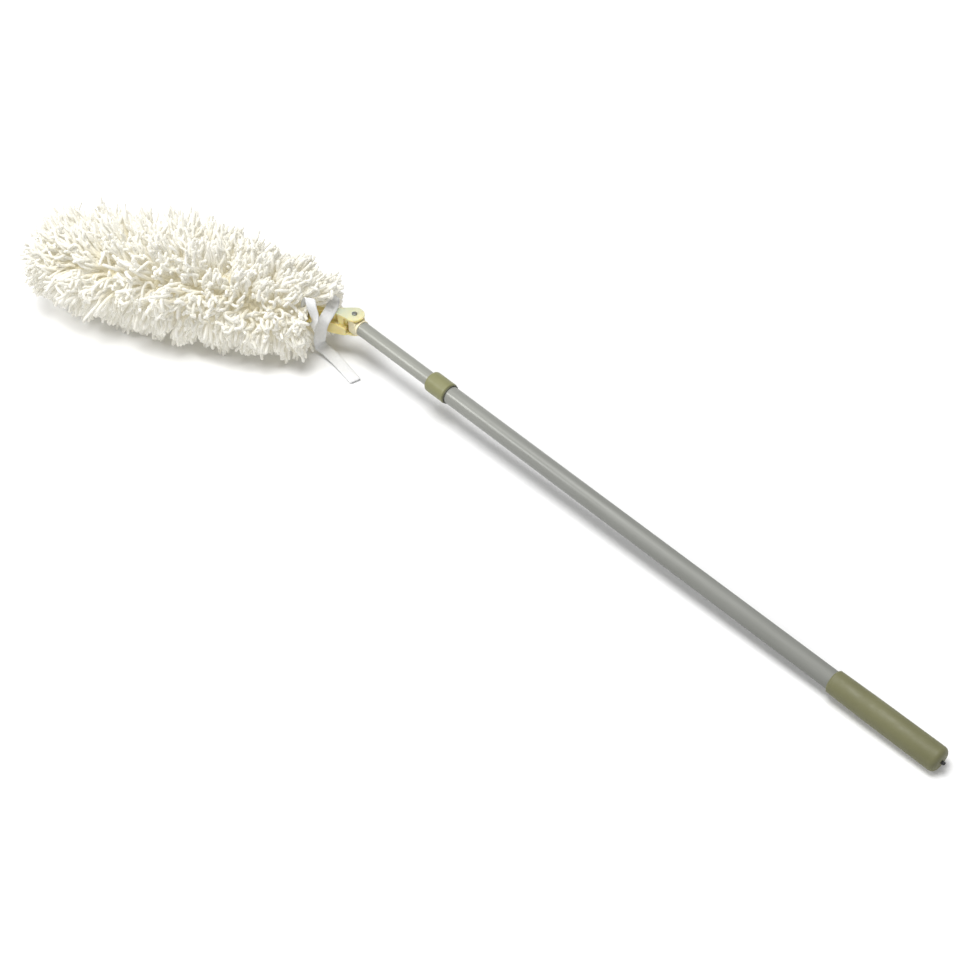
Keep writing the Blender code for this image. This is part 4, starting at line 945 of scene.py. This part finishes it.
LONG_TAPE_ROUTE = (
    (60.5, -8.0, 11.2), (49.0, -13.0, 17.0), (39.0, -16.0, 18.5), (32.0, -12.5, 18.5), (29.4, -2.5, 18.4),
    (30.2, 7.5, 15.8), (33.6, 14.0, 9.0), (36.8, 16.0, 0.0), (39.5, 15.8, -14.0), (42.0, 14.0, -27.0),
    (43.0, 10.5, -37.0), (41.0, 10.0, -40.5), (34.0, 12.8, -43.0), (12.0, 26.5, -46.4), (-17.5, 51.5, -45.4))
LONG_TAPE_ACROSS = (
    (0, 0.98, 0.2), (-0.25, 0.94, 0.21), (0.07, 1.0, 0.05), (0.78, 0.62, 0.0), (0.98, 0.21, -0.01),
    (0.98, -0.03, 0.17), (0.96, -0.2, 0.21), (0.97, -0.09, 0.22), (0.98, -0.05, 0.19), (0.98, 0.19, 0.11),
    (0.66, 0.62, -0.66), (0.5, 0.75, -0.62), (0.52, 0.78, -0.36), (0.6, 0.79, -0.1), (0.65, 0.76, 0.0))
LONG_TAPE_WIDTH = 15 * MM
SHORT_TAPE_ROUTE = (
    (60.5, 8.0, 11.2), (58.0, 14.0, 27.0), (53.0, 17.0, 39.0), (47.5, 23.5, 45.0), (43.5, 29.5, 38.5),
    (40.0, 31.0, 26.0), (41.5, 30.0, 13.0), (45.0, 28.0, 3.0))
SHORT_TAPE_ACROSS = (
    (0, 0.98, -0.2), (0.6, 0.8, -0.1), (0.93, 0.36, 0.07), (1.0, 0.06, 0.05), (1.0, 0.05, 0.1),
    (0.95, -0.2, -0.1), (0.66, -0.73, -0.05), (0.7, -0.6, 0.4))
SHORT_TAPE_WIDTH = 13 * MM

TAPE_STEPS = 140
TAPE_COLUMNS = 6
TAPE_WALL = 0.55 * MM
TAPE_CUP = 1.0 * MM
TAPE_EDGE_RIPPLE = 0.05 * MM
TANGENT_STEP = 0.02
POINTS_PER_LEG = 8


def spline_point(points, position):
    """Point of a smooth curve through the points, at a position counted in them."""
    i = min(int(position), len(points) - 2)
    t = position - i
    p1, p2 = points[i], points[i + 1]
    p0 = points[i - 1] if i > 0 else p1 + (p1 - p2)
    p3 = points[i + 2] if i + 2 < len(points) else p2 + (p2 - p1)
    return (2 * p1 + (p2 - p0) * t + (2 * p0 - 5 * p1 + 4 * p2 - p3) * t * t
            + (3 * p1 - 3 * p2 + p3 - p0) * t * t * t) / 2


def tape_vectors(route, across):
    return [Vector(point) * MM for point in route], [Vector(side) for side in across]


def tape_points(route, across, width):
    """Points all over a tape, from which the yarn keeps its distance."""
    route, across = tape_vectors(route, across)
    places = [i / POINTS_PER_LEG for i in range(POINTS_PER_LEG * (len(route) - 1) + 1)]
    return np.array([spline_point(route, place) + spline_point(across, place) * width * share
                     for place in places for share in (-0.5, -0.25, 0, 0.25, 0.5)])


def make_tape(name, node, route, across, width, material):
    route, across = tape_vectors(route, across)
    last = len(route) - 1
    rows, run = [], [0.0]
    previous = None
    for i in range(TAPE_STEPS + 1):
        position = last * i / TAPE_STEPS
        centre = spline_point(route, position)
        ahead = spline_point(route, min(position + TANGENT_STEP, last))
        forward = (ahead - spline_point(route, max(position - TANGENT_STEP, 0))).normalized()
        side = spline_point(across, position)
        normal = side.cross(forward).normalized()
        row = []
        for k in range(TAPE_COLUMNS + 1):
            share = k / TAPE_COLUMNS - 0.5
            cup = (0.25 - share * share) * TAPE_CUP * math.sin(i * 0.11 + 1)
            edge = TAPE_EDGE_RIPPLE * math.sin(i * 0.9 + k)
            row.append(centre + side * share * width + normal * (cup + edge))
        rows.append(row)
        if previous is not None:
            run.append(run[-1] + (centre - previous).length)
        previous = centre
    points = to_scene_frame(np.array(rows)).reshape(-1, 3)
    left = np.broadcast_to(np.arange(TAPE_COLUMNS)[None] / TAPE_COLUMNS, (TAPE_STEPS, TAPE_COLUMNS))
    low = np.broadcast_to(np.array(run[:-1])[:, None] / width, left.shape)
    high = np.broadcast_to(np.array(run[1:])[:, None] / width, left.shape)
    right = left + 1 / TAPE_COLUMNS
    uvs = corner_uvs((left, low), (right, low), (right, high), (left, high))
    tape = mesh_object(name, points, [grid_quads(TAPE_STEPS, TAPE_COLUMNS)], material, uvs)
    wall = tape.modifiers.new("thickness", "SOLIDIFY")
    wall.thickness = TAPE_WALL
    wall.offset = 0
    finish_piece(tape, "duster_cover", "cotton_tape", node)


def make_cover_trim():
    canvas = woven_material("canvas", (0.62, 0.59, 0.49), (0.74, 0.72, 0.63), 70, 200, 0.12 * MM)
    tape = woven_material("cotton_tape", (0.78, 0.785, 0.785), (0.845, 0.85, 0.852), 22, 22, 0.04 * MM)
    thread = woven_material("thread", (0.8, 0.78, 0.7), (0.88, 0.86, 0.8), 30, 30, 0.03 * MM)
    make_pocket(canvas)
    make_hem(canvas)
    make_stitches(thread)
    make_tape("tie_tape_long_cloth", "tie_tape_long", LONG_TAPE_ROUTE, LONG_TAPE_ACROSS, LONG_TAPE_WIDTH, tape)
    make_tape("tie_tape_short_cloth", "tie_tape_short", SHORT_TAPE_ROUTE, SHORT_TAPE_ACROSS, SHORT_TAPE_WIDTH, tape)


# Floor, lamps and surroundings. What the camera sees of them is brighter than what lights the part, so that the
# floor turns white away from the part, as in the photograph

FLOOR_RADIUS = 9.0
FLOOR_SIDES = 96
FLOOR_COLOUR = (0.9, 0.9, 0.9, 1)
GLOW_FADE = (("From Min", 0.45), ("From Max", 1.6), ("To Min", 0.0), ("To Max", 0.8))
AMBIENT_LIGHT = 0.3
AMBIENT_SEEN = 1.0

# Each lamp: its place, what it faces, its two sides and its power

LAMPS = {
    "key": ((-0.2, -0.3, 3.3), (-0.1, 0, 0), 1.6, 1.6, 100),
    "strip": ((-1.42, -1.4, 1.6), (-0.1, 0.1, 0), 0.75, 0.12, 20),
}


def floor_material():
    """A pale floor that glows towards its rim, only where a ray sees it directly."""
    material = bpy.data.materials.new("floor")
    material.use_nodes = True
    tree = material.node_tree
    tree.nodes.clear()
    output = tree.nodes.new("ShaderNodeOutputMaterial")
    diffuse = tree.nodes.new("ShaderNodeBsdfDiffuse")
    diffuse.inputs["Color"].default_value = FLOOR_COLOUR
    glow = tree.nodes.new("ShaderNodeEmission")
    add = tree.nodes.new("ShaderNodeAddShader")
    place = tree.nodes.new("ShaderNodeTexCoord")
    reach = tree.nodes.new("ShaderNodeVectorMath")
    reach.operation = "LENGTH"
    tree.links.new(place.outputs["Object"], reach.inputs[0])
    light_ramp = tree.nodes.new("ShaderNodeMapRange")
    for socket, value in GLOW_FADE:
        light_ramp.inputs[socket].default_value = value
    tree.links.new(reach.outputs["Value"], light_ramp.inputs["Value"])
    strength = tree.nodes.new("ShaderNodeMath")
    strength.operation = "MULTIPLY"
    tree.links.new(seen_directly(tree), strength.inputs[0])
    tree.links.new(light_ramp.outputs["Result"], strength.inputs[1])
    tree.links.new(strength.outputs[0], glow.inputs["Strength"])
    tree.links.new(diffuse.outputs[0], add.inputs[0])
    tree.links.new(glow.outputs[0], add.inputs[1])
    tree.links.new(add.outputs[0], output.inputs["Surface"])
    return material


def make_stage():
    shape = bmesh.new()
    bmesh.ops.create_circle(shape, cap_ends=True, radius=FLOOR_RADIUS, segments=FLOOR_SIDES)
    mesh = bpy.data.meshes.new("floor")
    shape.to_mesh(mesh)
    shape.free()
    mesh.materials.append(floor_material())
    place_object("floor", mesh)


def seen_directly(tree):
    """1 for camera, glossy and transmission rays."""
    path = tree.nodes.new("ShaderNodeLightPath")
    total = path.outputs["Is Camera Ray"]
    for name in ("Is Glossy Ray", "Is Transmission Ray"):
        node = tree.nodes.new("ShaderNodeMath")
        node.operation = "MAXIMUM"
        tree.links.new(total, node.inputs[0])
        tree.links.new(path.outputs[name], node.inputs[1])
        total = node.outputs[0]
    return total


def make_world():
    world = bpy.data.worlds.new("studio")
    bpy.context.scene.world = world
    world.use_nodes = True
    tree = world.node_tree
    background = tree.nodes["Background"]
    background.inputs["Color"].default_value = (1, 1, 1, 1)
    strength = tree.nodes.new("ShaderNodeMapRange")
    strength.inputs["To Min"].default_value = AMBIENT_LIGHT
    strength.inputs["To Max"].default_value = AMBIENT_SEEN
    tree.links.new(seen_directly(tree), strength.inputs["Value"])
    tree.links.new(strength.outputs["Result"], background.inputs["Strength"])


def make_lamp(name, place, target, size, size_y, power):
    lamp = bpy.data.lights.new(name, "AREA")
    lamp.shape = "RECTANGLE"
    lamp.size = size
    lamp.size_y = size_y
    lamp.energy = power
    obj = place_object(name, lamp)
    place, target = Vector(place), Vector(target)
    obj.matrix_world = Matrix.Translation(place) @ (target - place).to_track_quat("-Z", "Y").to_matrix().to_4x4()


make_camera()
make_stage()
make_world()
for lamp_name, settings in LAMPS.items():
    make_lamp(lamp_name, *settings)
dress_parts()
make_yarn()
make_cover_trim()

bpy.context.scene.view_settings.view_transform = "Standard"
